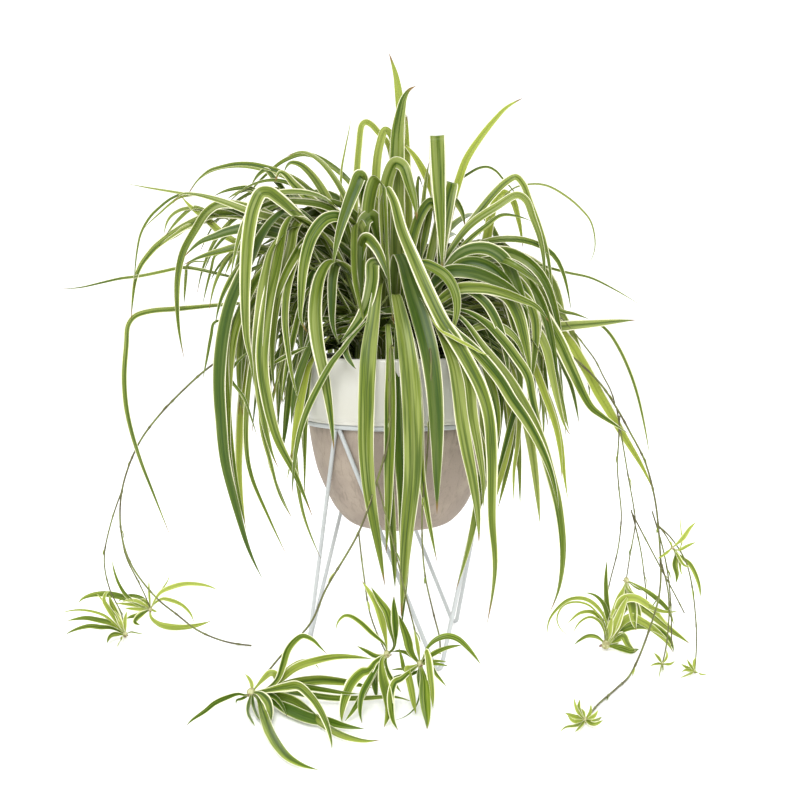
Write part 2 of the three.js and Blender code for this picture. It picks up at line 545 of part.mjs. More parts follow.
// Joins a row of equal closed sections with side faces and closes both ends; one point at the end is a tip
function skin(sections) {
  const vertices = sections.flat()
  const sides = sections[0].length
  const index = []
  for (let k = 1; k < sides - 1; k++) index.push(0, k, k + 1)
  sections.slice(1).forEach((section, i) => {
    const near = i * sides
    const far = near + sides
    for (let k = 0; k < sides; k++) {
      const next = (k + 1) % sides
      if (section.length === 1) index.push(near + k, far, near + next)
      else index.push(near + k, far + k, far + next, near + k, far + next, near + next)
    }
  })
  const end = (sections.length - 1) * sides
  if (sections.at(-1).length > 1) {
    for (let k = 1; k < sides - 1; k++) index.push(end, end + k + 1, end + k)
  }
  const geometry = new THREE.BufferGeometry().setFromPoints(vertices)
  geometry.setIndex(index)
  if (signedVolume(vertices, index) < 0) geometry.setIndex(index.reverse())
  return geometry
}

function signedVolume(vertices, index) {
  let sum = 0
  for (let i = 0; i < index.length; i += 3) {
    const [a, b, c] = [vertices[index[i]], vertices[index[i + 1]], vertices[index[i + 2]]]
    sum += a.dot(new THREE.Vector3().crossVectors(b, c)) / 6
  }
  return sum
}

// A leaf's width along its length: slim at the root, full before half way, drawn out to a point
function widthShare(share) {
  const opening = Math.min(share / FULL_WIDTH_AT, 1)
  return (ROOT_SHARE + (1 - ROOT_SHARE) * opening * opening * (3 - 2 * opening)) * (1 - share ** 3)
}

// A strap leaf with a keel: flat across the top and folded down to a ridge along its rib
function blade([width, twist, ...rib], centre = new THREE.Vector3()) {
  const points = rib.map((station) => polar(station).add(centre))
  const last = points.length - 1
  const run = [0]
  for (let i = 1; i <= last; i++) run.push(run[i - 1] + points[i].distanceTo(points[i - 1]))
  const sections = points.slice(0, last).map((point, i) => {
    const share = run[i] / run[last]
    const along = new THREE.Vector3().subVectors(points[i + 1], points[Math.max(i - 1, 0)]).normalize()
    const turn = THREE.MathUtils.degToRad(rib[i][0])
    const level = new THREE.Vector3(Math.cos(turn), Math.sin(turn), 0)
    const across = level.addScaledVector(along, -level.dot(along)).normalize()
    const up = new THREE.Vector3().crossVectors(along, across)
    across.applyAxisAngle(along, THREE.MathUtils.degToRad(twist) * share)
    up.applyAxisAngle(along, THREE.MathUtils.degToRad(twist) * share)
    const half = 0.5 * width * widthShare(share)
    const keel = Math.max(LEAST_KEEL, KEEL_SHARE * 2 * half)
    return [
      point.clone().addScaledVector(across, -half),
      point.clone().addScaledVector(up, -keel),
      point.clone().addScaledVector(across, half),
    ]
  })
  return skin([...sections, [points[last]]])
}

// The rib of an arching leaf: up out of the root, over the apex, and down towards the tip
function archRib(azimuth, drift, root, apex, tip) {
  const rib = RISE_STEPS.map((degrees) => {
    const turn = THREE.MathUtils.degToRad(degrees)
    return [root.radius + (apex.radius - root.radius) * (1 - Math.cos(turn)),
      root.height + (apex.height - root.height) * Math.sin(turn)]
  })
  for (const degrees of FALL_STEPS) {
    const turn = THREE.MathUtils.degToRad(degrees)
    rib.push([apex.radius + (tip.radius - apex.radius) * Math.sin(turn),
      apex.height - (apex.height - tip.height) * (1 - Math.cos(turn))])
  }
  return rib.map(([radius, height], i) => [azimuth + (drift * i) / (rib.length - 1), radius, height])
}

// Height of a rib where it first comes out past a radius
function heightAt(rib, radius) {
  for (let i = 1; i < rib.length; i++) {
    const [, r0, z0] = rib[i - 1]
    const [, r1, z1] = rib[i]
    if (r0 <= radius && r1 > radius) return z0 + ((z1 - z0) * (radius - r0)) / (r1 - r0)
  }
  return Infinity
}

// The seeded leaves that fill the tuft: upright ones, then arches nested inside each other as in a fountain
function fillLeaves() {
  const draw = seededRandom(SEED)
  const leaves = []
  for (let i = 0; i < LEAF_COUNT; i++) {
    const upright = i < UPRIGHT_COUNT
    const level = upright ? 1 : 1 - (i - UPRIGHT_COUNT) / (LEAF_COUNT - UPRIGHT_COUNT)
    const azimuth = turnAside(i * GOLDEN_ANGLE + draw(-6, 6), RUNNER_LANES, LANE_WIDTH)
    const width = upright ? draw(7, 11) : draw(9, 16)
    const twist = draw(-35, 35)
    const drift = draw(-8, 8)
    const root = { radius: upright ? draw(6, 14) : 38 - 22 * level, height: ROOT_HEIGHT }
    const apex = upright
      ? { radius: draw(30, 72), height: draw(470, 545) }
      : { radius: 90 + 62 * level + draw(-5, 9), height: 366 + 122 * level + draw(-10, 10) }
    const tip = upright
      ? { radius: apex.radius + draw(14, 60), height: apex.height - draw(0, 60) }
      : { radius: 132 + 104 * level + draw(-6, 18), height: apex.height - draw(70, 250) }
    const arch = () => archRib(azimuth, drift, root, apex, tip)
    while (heightAt(arch(), RIM_CLEARANCE.outer) < RIM_CLEARANCE.height) {
      tip.height += 12
      tip.radius += 2
    }
    leaves.push([width, twist, ...arch()])
  }
  return leaves
}

// Turns a leaf away from the lanes that stems go out by
function turnAside(azimuth, lanes, width) {
  for (const lane of lanes) {
    const off = ((azimuth - lane) % 360 + 540) % 360 - 180
    if (Math.abs(off) < width) return lane + (off < 0 ? -width : width)
  }
  return azimuth
}

function makeTuft() {
  const crown = closedLathe(CROWN, CROWN_SIDES)
  return fuse([crown, ...[...SET_LEAVES, ...fillLeaves()].map((leaf) => blade(leaf))])
}

// A runner's stem with its branches; an end that holds a plantlet stops just short of its heart
function makeRunner({ diameter, main, branches }, hearts) {
  const stem = (points, size) => {
    const route = points.map(([x, y, z]) => new THREE.Vector3(x, y, z))
    return tube(route, size, STEM_SIDES, Math.round(STEPS_PER_POINT * points.length))
  }
  const twigs = branches.map((points) => stem(points, diameter * BRANCH_SHARE))
  return cut(fuse([stem(main, diameter), ...twigs]), hearts)
}

// Rosettes fused into one plantlet, let down the last few millimetres onto the floor where they reach it
function makePlantlet(name, rosettes) {
  const geometry = fuse(rosettes.flatMap(({ at, heart, leaves }) => [
    new THREE.IcosahedronGeometry(heart, 0).translate(...at),
    ...leaves.map((leaf) => blade(leaf, new THREE.Vector3(...at))),
  ]))
  geometry.computeBoundingBox()
  const lowest = geometry.boundingBox.min.z
  const drop = lowest < SETTLE_HEIGHT ? lowest : 0
  geometry.translate(0, 0, -drop)
  const seats = rosettes.map(({ at: [x, y, z], heart }) => (
    new THREE.IcosahedronGeometry(heart + HEART_GAP, 0).translate(x, y, z - drop)
  ))
  return { name, geometry, seats }
}

const root = new THREE.Group()

function addPart(name, geometry, color, finish = POLISHED) {
  const mesh = new THREE.Mesh(geometry, new THREE.MeshStandardMaterial({ color, ...finish }))
  mesh.name = name
  root.add(mesh)
}

addPart('pot', makePot(), COLOURS.glaze)
addPart('soil', makeSoil(), COLOURS.soil, MATT)
addPart('stand_ring', makeRing(), COLOURS.wire)
for (const [place, azimuth] of Object.entries(FOOT_AZIMUTHS)) {
  addPart(`stand_leg_${place}`, makeLeg(azimuth), COLOURS.wire)
}
addPart('leaf_tuft', makeTuft(), COLOURS.leaf, MATT)
const plantlets = Object.entries(PLANTLETS).map(([name, rosettes]) => makePlantlet(name, rosettes))
const hearts = plantlets.flatMap(({ seats }) => seats)
for (const [name, runner] of Object.entries(RUNNERS)) {
  addPart(name, makeRunner(runner, hearts), COLOURS.stem, MATT)
}
for (const { name, geometry } of plantlets) addPart(name, geometry, COLOURS.plantlet, MATT)

// The origin is on the floor under the middle of the whole plant
const middle = new THREE.Box3().setFromObject(root).getCenter(new THREE.Vector3())
root.position.set(-middle.x, -middle.y, 0)
root.updateMatrixWorld(true)

export default root
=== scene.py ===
"""A variegated spider plant in a two-tone pot and a wire stand, dressed around the part's solids.

The lists hold millimetres from the pot's axis on the floor. An azimuth is in degrees, 0 at the front
(-Y) and 90 at the right (+X).
"""

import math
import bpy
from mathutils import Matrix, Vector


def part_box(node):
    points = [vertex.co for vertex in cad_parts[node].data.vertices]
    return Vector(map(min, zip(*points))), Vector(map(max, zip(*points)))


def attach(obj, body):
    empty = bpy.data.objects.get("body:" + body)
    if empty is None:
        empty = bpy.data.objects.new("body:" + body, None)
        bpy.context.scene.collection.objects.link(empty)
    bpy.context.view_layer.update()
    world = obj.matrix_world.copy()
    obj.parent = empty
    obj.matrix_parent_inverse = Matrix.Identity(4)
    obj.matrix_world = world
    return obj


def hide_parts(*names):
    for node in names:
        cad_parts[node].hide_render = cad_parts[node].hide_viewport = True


bl_info = {
    "name": "Potted Spider Plant",
    "version": (1, 0, 0),
    "blender": (4, 5, 0),
    "location": "View3D > Sidebar > Spider Plant",
    "description": "Builds a spider plant with its pot, wire stand, runners and plantlets",
    "category": "Add Mesh",
}

import bpy
import numpy as np
from bpy.props import FloatProperty, FloatVectorProperty, IntProperty, PointerProperty
from mathutils import Matrix, Vector

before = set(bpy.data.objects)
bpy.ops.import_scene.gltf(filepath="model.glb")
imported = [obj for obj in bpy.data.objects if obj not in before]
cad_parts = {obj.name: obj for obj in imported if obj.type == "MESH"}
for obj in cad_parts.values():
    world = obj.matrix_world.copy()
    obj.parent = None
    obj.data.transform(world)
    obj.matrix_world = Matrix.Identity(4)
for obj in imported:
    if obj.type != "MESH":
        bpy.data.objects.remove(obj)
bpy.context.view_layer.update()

MM = 0.001
POT_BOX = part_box("pot")
AXIS = np.array([(POT_BOX[0][0] + POT_BOX[1][0]) / 2, (POT_BOX[0][1] + POT_BOX[1][1]) / 2, 0.0])

# Wire stand: a ring on three hairpin legs
RING_HEIGHT = 240.0
RING_RADIUS = 99.5
RING_WIRE = 4.5
LEG_WIRE = 4.3
LEG_TOP_RADIUS = 100.5
LEG_SPREAD = 60.0
FOOT_RADIUS = 99.0
FOOT_BEND_RADIUS = 4.2
FOOT_AZIMUTHS = {"left": 262.0, "front": 22.0, "back": 142.0}
LEG_PAIR_GAP = 2.4
WELD_DEPTH = 0.4
RING_STEPS = 120

# Pot: a glazed band over a rounded body, with the ledge that rests on the ring between them
TOUCH_GAP = 0.3
LEDGE_HEIGHT = RING_HEIGHT + RING_WIRE / 2 + TOUCH_GAP
RIM_HEIGHT = 308.5
RIM_RADIUS = 103.0
BAND_FOOT_RADIUS = 101.0
BODY_TOP_RADIUS = 96.5
POT_BOTTOM = 128.0
WALL = 6.0
BODY_OUTSIDE = [[36, 128], [53, 133], [68, 148], [79.5, 170], [87.5, 190], [92.6, 212], [95.6, 232]]
BODY_INSIDE = [[87, 212], [74, 172], [48, 140], [30, 134]]
GLAZE_INSIDE = 7.0
TURN_STEPS = 144

# Soil
SOIL_HEIGHT = 292.0
SOIL_MOUND = 3.0
SOIL_GAP = 0.5
SOIL_ROUGHNESS = 1.1
CRUMB_SIZE = (0.8, 2.6)

# Seeded leaves: how many of each kind, and the turn from one to the next in degrees
SEED = 20417
GOLDEN_ANGLE = 137.508
LEAF_COUNT = 96
UPRIGHT_COUNT = 14
CROWN_LEAVES = 70
INNER_LEAVES = 200
RIM_LEAVES = 160
SIDE_LEAVES = 72

# Their arches: the roots' height, steps in degrees up to the apex and down to the tip, and how high and
# how far out they clear the rim
ROOT_HEIGHT = 300.0
RISE_STEPS = (0, 50, 90)
FALL_STEPS = (38, 68, 90)
RIM_CLEARANCE = {"outer": 112.0, "height": 328.0}
RIM_LIFT = 12

# Lanes that the runners go out by, as azimuths, with no seeded leaf so many degrees to either side
RUNNER_LANES = (-93.0, 87.0)
LANE_WIDTH = 8.0

# Where seeded leaves stay behind the listed ones: degrees from the front, then how far out and how high
# they may reach there. The tuft is lower at the right, from this sine on
FRONT_SPREAD = 62.0
SIDE_SPREAD = 84.0
RIM_SPREAD = 88.0
FRONT_REACH = 104.0
FRONT_DEPTH = 66.0
SIDE_REACH = 178.0
UPRIGHT_HEIGHT = 510.0
RIGHT_FROM = 0.3
RIGHT_REACH = 150.0
RIGHT_HEIGHT = 435.0
# Leaves left out where the tuft has gaps, by their number
OPEN_SPOTS = (1, 22, 27, 31, 32, 36)

# Blade: shares of its length and width, sizes in mm, and its steps, also in radians of bend
ROOT_SHARE = 0.3
FULL_WIDTH_AT = 0.45
TIP_POWER = 4.5
UPRIGHT_TIP_POWER = 8.0
LEAST_HALF_WIDTH = 0.12
BLADE_THICKNESS = 0.6
THICKEST_SHARE = 0.8
FOLD = 0.3
CREASE_REACH = 12.0
TWIST_PACE = 1.6
BLADE_STEP = 9.0
BEND_STEP = 0.2
FINE_STEPS = 24

# Its section once round: places across as shares of half its width, and shares of its thickness there
CREASE = 0.07
SHOULDER = 0.55
SECTION_ACROSS = np.array([-1, -SHOULDER, -CREASE, CREASE, SHOULDER, 1, SHOULDER, CREASE, -CREASE, -SHOULDER])
SECTION_THICK = np.array([0, 0, 0, 0, 0, 0, 0.7, 1, 1, 0.7])
EDGE_FROM = 0.999

# Fine veins, streaks and the margin's wandering in mm, and where the cream margin starts as a share of
# half the width
VEIN_SPACING = 1.1
VEIN_DRIFT = 90.0
VEIN_RELIEF = 0.12
STREAK_DRIFT = 110.0
MARGIN_DRIFT = 60.0
MARGIN_FROM = 0.79
PLANTLET_MARGIN_FROM = 0.74

# How a blade laid out on the front plane turns to the front: over which shares of its length, from what
# reach it counts as backward or upright, how far it turns at its root and towards its tip, and how its tone
# varies
TURNING_SPAN = (0.2, 0.6)
TONE_SHIFT = (-0.06, 0.06)
FACING = {"backward": 0.5, "upright": 1.2, "root": 0.45, "tip": 0.9}

# Eye point and the upright plane before the crown that it sees, in mm and degrees. It looks a little down,
# at the plane's spot at "axis" and "level", and "focus" is how far off the spots' millimetres are true
FRONT_PLANE = {"before": 60.0, "distance": 1140.0}
EYE = {"aside": 0.7, "height": 358.2, "axis": 1.0, "level": 321.6, "focus": 1133.3, "tilt": 1.84,
       "roll": 0.27}
LEAST_SLOPE = -0.01
# Height of the level eye that the runners and hearts were laid out for
LEVEL_EYE = 350.0

# Runners: shares of the diameters in their list, their joints, how far off the floor they stay, and the
# small bracts at the joints, with none near the end
STEM_SLIMMING = 0.8
BRANCH_SHARE = 0.7
END_SHARE = 0.8
JOINT_SPACING = 38.0
JOINT_LENGTH = 1.8
JOINT_SWELLING = 0.4
STEM_CLEARANCE = 0.6
BARE_END = 20.0
BRACT_WIDTH = 2.4
BRACT_LENGTH = (7, 13)
BRACT_TURN = (-40, 40)

# Directions that no stem or wire starts out in
STEM_SLANT = (0.3, 0.2, 1.0)
WIRE_SLANT = (0.1, 0.3, 1.0)

# Plantlets: the heart's share of its size in their list, how far they stay off the floor in mm, and how
# their leaves lie. Those far out to a side get a lighter tone
HEART_SHARE = 0.75
HEART_CLEARANCE = 0.3
HEART_REACH = 5.5
LEAF_CLEARANCE = 1.0
SOFT_LANDING = 12.0
PLANTLET_STEP = 3.0
PLANTLET_WIDENING = 1.2
PLANTLET_FACING = (0.6, 0.95)
PLANTLET_LEAN = (-0.35, 0.45)
PLANTLET_ROLL = (-25, 25)
FAR_OUT = 150.0
FAR_TONE_LIFT = 0.2

# Stage in metres: paper, lights with their places and sizes, what they point at, and the camera
PAPER_REACH = 14.0
PAPER_SINK = 0.0006
LIT_HEIGHT = 0.3
LIGHTS = {"key": ((-0.15, -2.0, 1.7), 1.1), "back": ((0.7, 1.4, 1.6), 1.4)}
CAMERA = {"lens": 51.0, "sensor_width": 36.0, "shift_y": -0.0695, "clip_end": 60.0}

BODY = "root"
LEAF_COLOURS = ("deep", "green", "old", "light", "young", "margin", "under", "root", "dry", "glow")


def linear(hex_colour):
    """Linear RGBA from an sRGB hex value such as "4f7a2a"."""
    levels = [int(hex_colour[i : i + 2], 16) / 255 for i in (0, 2, 4)]
    return [v / 12.92 if v <= 0.04045 else ((v + 0.055) / 1.055) ** 2.4 for v in levels] + [1.0]


def add_node(tree, kind, inputs=None, **settings):
    """Adds a node with its settings, and fills its inputs."""
    made = tree.nodes.new(kind)
    for name, value in settings.items():
        setattr(made, name, value)
    fill_inputs(tree, made, inputs or {})
    return made


def fill_inputs(tree, node, inputs):
    """Fills a node's inputs with values or with other nodes' outputs."""
    for key, value in inputs.items():
        if isinstance(value, bpy.types.NodeSocket):
            tree.links.new(value, node.inputs[key])
        else:
            node.inputs[key].default_value = value


def new_material(name):
    """An empty material with its Principled shader wired to the output."""
    material = bpy.data.materials.new(name)
    material.use_nodes = True
    tree = material.node_tree
    tree.nodes.clear()
    shader = add_node(tree, "ShaderNodeBsdfPrincipled")
    output = add_node(tree, "ShaderNodeOutputMaterial", {"Surface": shader.outputs[0]})
    return material, tree, shader, output


def blend_colours(tree, share, first, second, how="MIX"):
    """A colour between two others, or the second laid over the first in another way."""
    mix = add_node(tree, "ShaderNodeMix", {0: share, 6: first, 7: second}, data_type="RGBA", blend_type=how)
    return mix.outputs[2]


def remap(tree, value, low, high, to_low=0.0, to_high=1.0, smooth=True):
    """A value brought from one range to another, with soft ends unless they are asked straight."""
    kind = "SMOOTHSTEP" if smooth else "LINEAR"
    inputs = {"Value": value, "From Min": low, "From Max": high, "To Min": to_low, "To Max": to_high}
    return add_node(tree, "ShaderNodeMapRange", inputs, interpolation_type=kind).outputs[0]


def reckon(tree, operation, first, second=0.0):
    """One sum of two values."""
    return add_node(tree, "ShaderNodeMath", {0: first, 1: second}, operation=operation).outputs[0]


def polar(azimuth, radius, height):
    """A point in millimetres from the pot's axis."""
    turn = math.radians(azimuth)
    return [radius * math.sin(turn), -radius * math.cos(turn), height]


def seeded_random(seed):
    """The plain seeded draw that the part's leaves use."""
    state = [seed]

    def draw(low, high):
        state[0] = (state[0] * 1664525 + 1013904223) % 2**32
        return low + (high - low) * state[0] / 2**32

    return draw


def turn_aside(azimuth):
    """Turns a leaf away from the lanes that stems go out by."""
    for lane in RUNNER_LANES:
        off = ((azimuth - lane) % 360 + 540) % 360 - 180
        if abs(off) < LANE_WIDTH:
            return lane + (-LANE_WIDTH if off < 0 else LANE_WIDTH)
    return azimuth


def lengths_along(points):
    """How far along a row of points each of them is."""
    return np.concatenate([[0], np.cumsum(np.linalg.norm(np.diff(points, axis=0), axis=1))])


def smooth_route(points, step):
    """Points at even steps of about one length along a smooth curve through the given ones."""
    points = np.asarray(points, float)
    # The curve spends on each chord the root of its length, which keeps it from looping at close points
    gaps = np.sqrt(np.linalg.norm(np.diff(points[:, :3], axis=0), axis=1))
    rates = np.diff(points, axis=0) / gaps[:, None]
    slopes = rates[[0, -1]]
    if len(points) > 2:
        inner = rates[:-1] * gaps[1:, None] + rates[1:] * gaps[:-1, None]
        inner /= (gaps[:-1] + gaps[1:])[:, None]
        first = 1.5 * rates[0] - 0.5 * inner[0]
        last = 1.5 * rates[-1] - 0.5 * inner[-1]
        slopes = np.concatenate([[first], inner, [last]])
    t = np.linspace(0, 1, FINE_STEPS, endpoint=False)[:, None]
    fine = []
    for i, gap in enumerate(gaps):
        fine.append(
            (2 * t**3 - 3 * t**2 + 1) * points[i] + (t**3 - 2 * t**2 + t) * gap * slopes[i]
            + (3 * t**2 - 2 * t**3) * points[i + 1] + (t**3 - t**2) * gap * slopes[i + 1]
        )
    fine = np.concatenate([*fine, points[-1:]])
    run = lengths_along(fine[:, :3])
    even = np.linspace(0, run[-1], max(3, round(run[-1] / step) + 1))
    return np.stack([np.interp(even, run, column) for column in fine.T], axis=1), even


def carried(side, along):
    """A direction carried along a curve at right angles to it, without a twist, as one for each point."""
    sides = []
    for direction in along:
        side = side - direction * np.dot(side, direction)
        side /= np.linalg.norm(side)
        sides.append(side)
    return np.array(sides)


def even_turns(count):
    """Angles in radians, evenly once round."""
    return np.linspace(0, 2 * math.pi, count, endpoint=False)


def round_rings(points, along, side, radii, count):
    """Rings around a curve, one for each of its points."""
    sides = carried(side, along)
    others = np.cross(along, sides)
    turns = even_turns(count)[None, :, None]
    ring = np.cos(turns) * sides[:, None] + np.sin(turns) * others[:, None]
    return points[:, None] + ring * radii[:, None, None]


def tube_faces(rows, sides, closed=False):
    """Faces of a skin over a row of rings, with its ends closed unless it runs round."""
    faces = []
    for row in range(rows if closed else rows - 1):
        near, far = row * sides, (row + 1) % rows * sides
        for k in range(sides):
            after = (k + 1) % sides
            faces.append((near + k, near + after, far + after, far + k))
    if not closed:
        faces += [tuple(reversed(range(sides))), tuple(range((rows - 1) * sides, rows * sides))]
    return faces


def triples(shape, *values):
    """Three numbers for each point of a row of rings."""
    return np.stack([np.broadcast_to(value, shape).astype(float) for value in values], axis=2)


def crowd_bends(points, run, step):
    """Points of a route thinned to a blade's steps, closer together where it bends."""
    along = heading_along(points[:, :3])
    bends = np.arccos(np.clip((along[1:] * along[:-1]).sum(axis=1), -1, 1))
    spent = run / step + np.concatenate([[0], np.cumsum(bends)]) / BEND_STEP
    even = np.linspace(0, spent[-1], max(4, round(spent[-1]) + 1))
    kept = np.stack([np.interp(even, spent, column) for column in points.T], axis=1)
    return kept, np.interp(even, spent, run)


class Strands:
    """Blades and stems gathered into one mesh, each point with two triples that its material reads."""

    def __init__(self):
        self.points, self.faces, self.place, self.kind, self.paints = [], [], [], [], []
        self.count = 0
        self.paint = 0

    def add_tube(self, rings, place, kind):
        """A closed skin over a row of rings, each an array of points."""
        faces = tube_faces(*rings.shape[:2])
        self.faces += [[self.count + i for i in face] for face in faces]
        self.paints += [self.paint] * len(faces)
        self.points.append(rings.reshape(-1, 3))
        self.place.append(place.reshape(-1, 3))
        self.kind.append(kind.reshape(-1, 3))
        self.count += rings.shape[0] * rings.shape[1]

    def piece(self, name, materials, slot, replaces, lift=0.0):
        """Makes the mesh object, in metres, and hides the solids that it replaces."""
        points = (np.concatenate(self.points) + [0, 0, lift]) * MM + AXIS
        mesh = bpy.data.meshes.new(name)
        mesh.from_pydata(points.tolist(), [], self.faces)
        for title, rows in (("strand_place", self.place), ("strand_kind", self.kind)):
            layer = mesh.attributes.new(title, "FLOAT_VECTOR", "POINT")
            layer.data.foreach_set("vector", np.concatenate(rows).astype(np.float32).ravel())
        mesh.polygons.foreach_set("material_index", self.paints)
        mesh.shade_smooth()
        # A blade's two edges stay crisp
        on_edge = np.abs(np.concatenate(self.place)[:, 0]) > EDGE_FROM
        for edge in mesh.edges:
            edge.use_edge_sharp = bool(on_edge[edge.vertices[0]] and on_edge[edge.vertices[1]])
        settle(mesh, name, materials, replaces)


def settle(mesh, name, materials, replaces):
    """Puts a mesh into the scene as a piece of the plant."""
    piece = bpy.data.objects.new(name, mesh)
    bpy.context.scene.collection.objects.link(piece)
    for material in materials:
        mesh.materials.append(material)
    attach(piece, BODY)
    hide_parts(*replaces)


def width_share(share, tip_power):
    """A leaf's width along its length: slim at the root, full before half way, drawn out to a point."""
    opening = np.minimum(share / FULL_WIDTH_AT, 1)
    return (ROOT_SHARE + (1 - ROOT_SHARE) * opening**2 * (3 - 2 * opening)) * (1 - share**tip_power)


def turned(vectors, axes, angles):
    """Vectors turned about unit axes at right angles to them."""
    return vectors * np.cos(angles)[:, None] + np.cross(axes, vectors) * np.sin(angles)[:, None]


def heading_along(points):
    """Unit directions along a row of points."""
    along = np.gradient(points, axis=0)
    return along / np.linalg.norm(along, axis=1)[:, None]


def add_blade(strands, leaf, tone, centre=(0, 0, 0), step=BLADE_STEP, fold=FOLD, twist_gain=1.0):
    """A strap leaf whose broad side lies level at its root and turns by its twist towards the tip."""
    width, twist, *rib = leaf
    stations = [[*(np.array(polar(*station)) + centre), station[0]] for station in rib]
    route, along_mm = smooth_route(stations, step)
    points, azimuths = route[:, :3], np.radians(route[:, 3])
    along = heading_along(points)
    level = np.stack([np.cos(azimuths), np.sin(azimuths), np.zeros(len(points))], axis=1)
    across = level - along * (level * along).sum(axis=1)[:, None]
    across /= np.linalg.norm(across, axis=1)[:, None]
    roll = math.radians(twist * twist_gain) * np.minimum(1, TWIST_PACE * along_mm / along_mm[-1])
    skin_blade(strands, points, along, turned(across, along, roll), width, along_mm, tone, fold)


def sight_lines(spots):
    """How far across and up the eye point sees spots of the front plane, for each mm away from it."""
    spots = np.asarray(spots, float)
    across, up = ((spots - [EYE["axis"], EYE["level"]]) / EYE["focus"]).T
    roll, tilt = math.radians(EYE["roll"]), math.radians(EYE["tilt"])
    across, up = across * math.cos(roll) + up * math.sin(roll), up * math.cos(roll) - across * math.sin(roll)
    ahead = math.cos(tilt) + up * math.sin(tilt)
    return np.column_stack([across / ahead, (up * math.cos(tilt) - math.sin(tilt)) / ahead])


def seen_points(spots, before):
    """Points in mm off the pot's axis, on the lines of sight of spots of the front plane."""
    away = FRONT_PLANE["distance"] - before
    lines = sight_lines(spots) * away[:, None]
    front = -FRONT_PLANE["before"] - before
    return np.column_stack([EYE["aside"] + lines[:, 0], front, EYE["height"] + lines[:, 1]])


def floor_reach(spots, clearance):
    """How far before the front plane the lines of sight of low spots come down to the floor."""
    slope = np.minimum(sight_lines(spots)[:, 1], LEAST_SLOPE)
    return FRONT_PLANE["distance"] + (EYE["height"] - clearance) / slope


def seated(points, clearance):
    """Points laid out for a level eye, as spots on the front plane and distances before it.

    The distances keep them off the floor.
    """
    points = np.array(points, float)
    before = -FRONT_PLANE["before"] - points[:, 1]
    nearer = 1 - before / FRONT_PLANE["distance"]
    spots = np.column_stack([points[:, 0] / nearer, LEVEL_EYE + (points[:, 2] - LEVEL_EYE) / nearer])
    return spots, np.maximum(before, floor_reach(spots, clearance))


def add_front_leaf(strands, leaf, tone_shift, fold=FOLD, step=BLADE_STEP, facing=None):
    """A strap leaf laid out on the front plane.

    Its broad side lies level where it grows out and turns towards the front where it hangs.
    """
    width, root_roll, tip_roll, tone, *rib = leaf
    rib = np.array(rib, float)
    stations = seen_points(rib[:, :2], rib[:, 2])
    points, along_mm = crowd_bends(*smooth_route(stations, 1.0), step)
    along = heading_along(points)
    out = stations[-1] - stations[0]
    level = carried(np.array([-out[1], out[0], 0.0]), along)
    front = np.cross([0.0, -1.0, 0.0], along)
    front /= np.linalg.norm(front, axis=1)[:, None]
    share = along_mm / along_mm[-1]
    shares = facing or facing_shares(out)
    turn = np.arctan2((np.cross(level, front) * along).sum(axis=1), (level * front).sum(axis=1))
    turn = np.unwrap(turn) * np.interp(share, TURNING_SPAN, shares)
    roll = turn + np.radians(root_roll + (tip_roll - root_roll) * share)
    tone = min(1, max(0, tone + tone_shift))
    tip_power = UPRIGHT_TIP_POWER if shares[0] == 1 else TIP_POWER
    skin_blade(strands, points, along, turned(level, along, roll), width, along_mm, tone, fold, tip_power)


def add_plantlet_leaf(strands, leaf, heart, before, lean, roll):
    """A plantlet's leaf, from its rib on the front plane.

    It leans to or from the front, and stays off the floor.
    """
    width, tone, *spots = leaf
    nearer = 1 - before / FRONT_PLANE["distance"]
    spots = [spot for spot in np.array(spots, float) if math.dist(spot, heart) > HEART_REACH]
    spots = np.array([heart, *spots])
    run = lengths_along(spots)
    half = 0.5 * PLANTLET_WIDENING * width * width_share(run / run[-1], TIP_POWER)
    on_floor = floor_reach(spots, LEAF_CLEARANCE + half)
    lean = max(lean, (on_floor[-1] - before) / run[-1])
    free = before + lean * run
    depth = (free + on_floor + np.hypot(free - on_floor, SOFT_LANDING)) / 2
    depth[0] = before
    rib = np.column_stack([spots, depth])
    leaf = [PLANTLET_WIDENING * width * nearer, roll, roll, tone, *rib.tolist()]
    add_front_leaf(strands, leaf, 0.0, step=PLANTLET_STEP, facing=PLANTLET_FACING)


def facing_shares(out):
    """How far a blade turns to the front at its root and towards its tip, from where it reaches."""
    level = math.hypot(out[0], out[1])
    forward = max(abs(out[0]), abs(out[2])) < FACING["backward"] * level
    if out[1] > FACING["backward"] * level or forward:
        return 0.0, 0.0
    if out[2] > FACING["upright"] * level:
        return 1.0, 1.0
    return FACING["root"] * (abs(out[0]) / level) ** 4, FACING["tip"]


def skin_blade(strands, points, along, across, width, along_mm, tone, fold, tip_power=TIP_POWER):
    """The blade itself: a shallow V in section, folded along its rib, and thin at its edges."""
    up = np.cross(along, across)
    share = along_mm / along_mm[-1]
    # The fold along the rib flattens out where the blade bends sharply
    bends = np.linalg.norm(np.gradient(along, axis=0), axis=1) / np.gradient(along_mm)
    fold = (fold / (1 + (CREASE_REACH * bends) ** 2))[:, None]
    half = np.maximum(0.5 * width * width_share(share, tip_power), LEAST_HALF_WIDTH)[:, None]
    sink = fold * (1 - (np.maximum(np.abs(SECTION_ACROSS), CREASE) - CREASE) / (1 - CREASE))
    drop = half * sink + np.minimum(BLADE_THICKNESS, THICKEST_SHARE * half) * SECTION_THICK
    side = across[:, None] * (half * SECTION_ACROSS)[:, :, None]
    rings = points[:, None] + side - up[:, None] * drop[:, :, None]
    place = triples(drop.shape, SECTION_ACROSS, along_mm[:, None], half)
    kind = triples(drop.shape, tone, SECTION_THICK > 0, share[:, None])
    strands.add_tube(rings, place, kind)


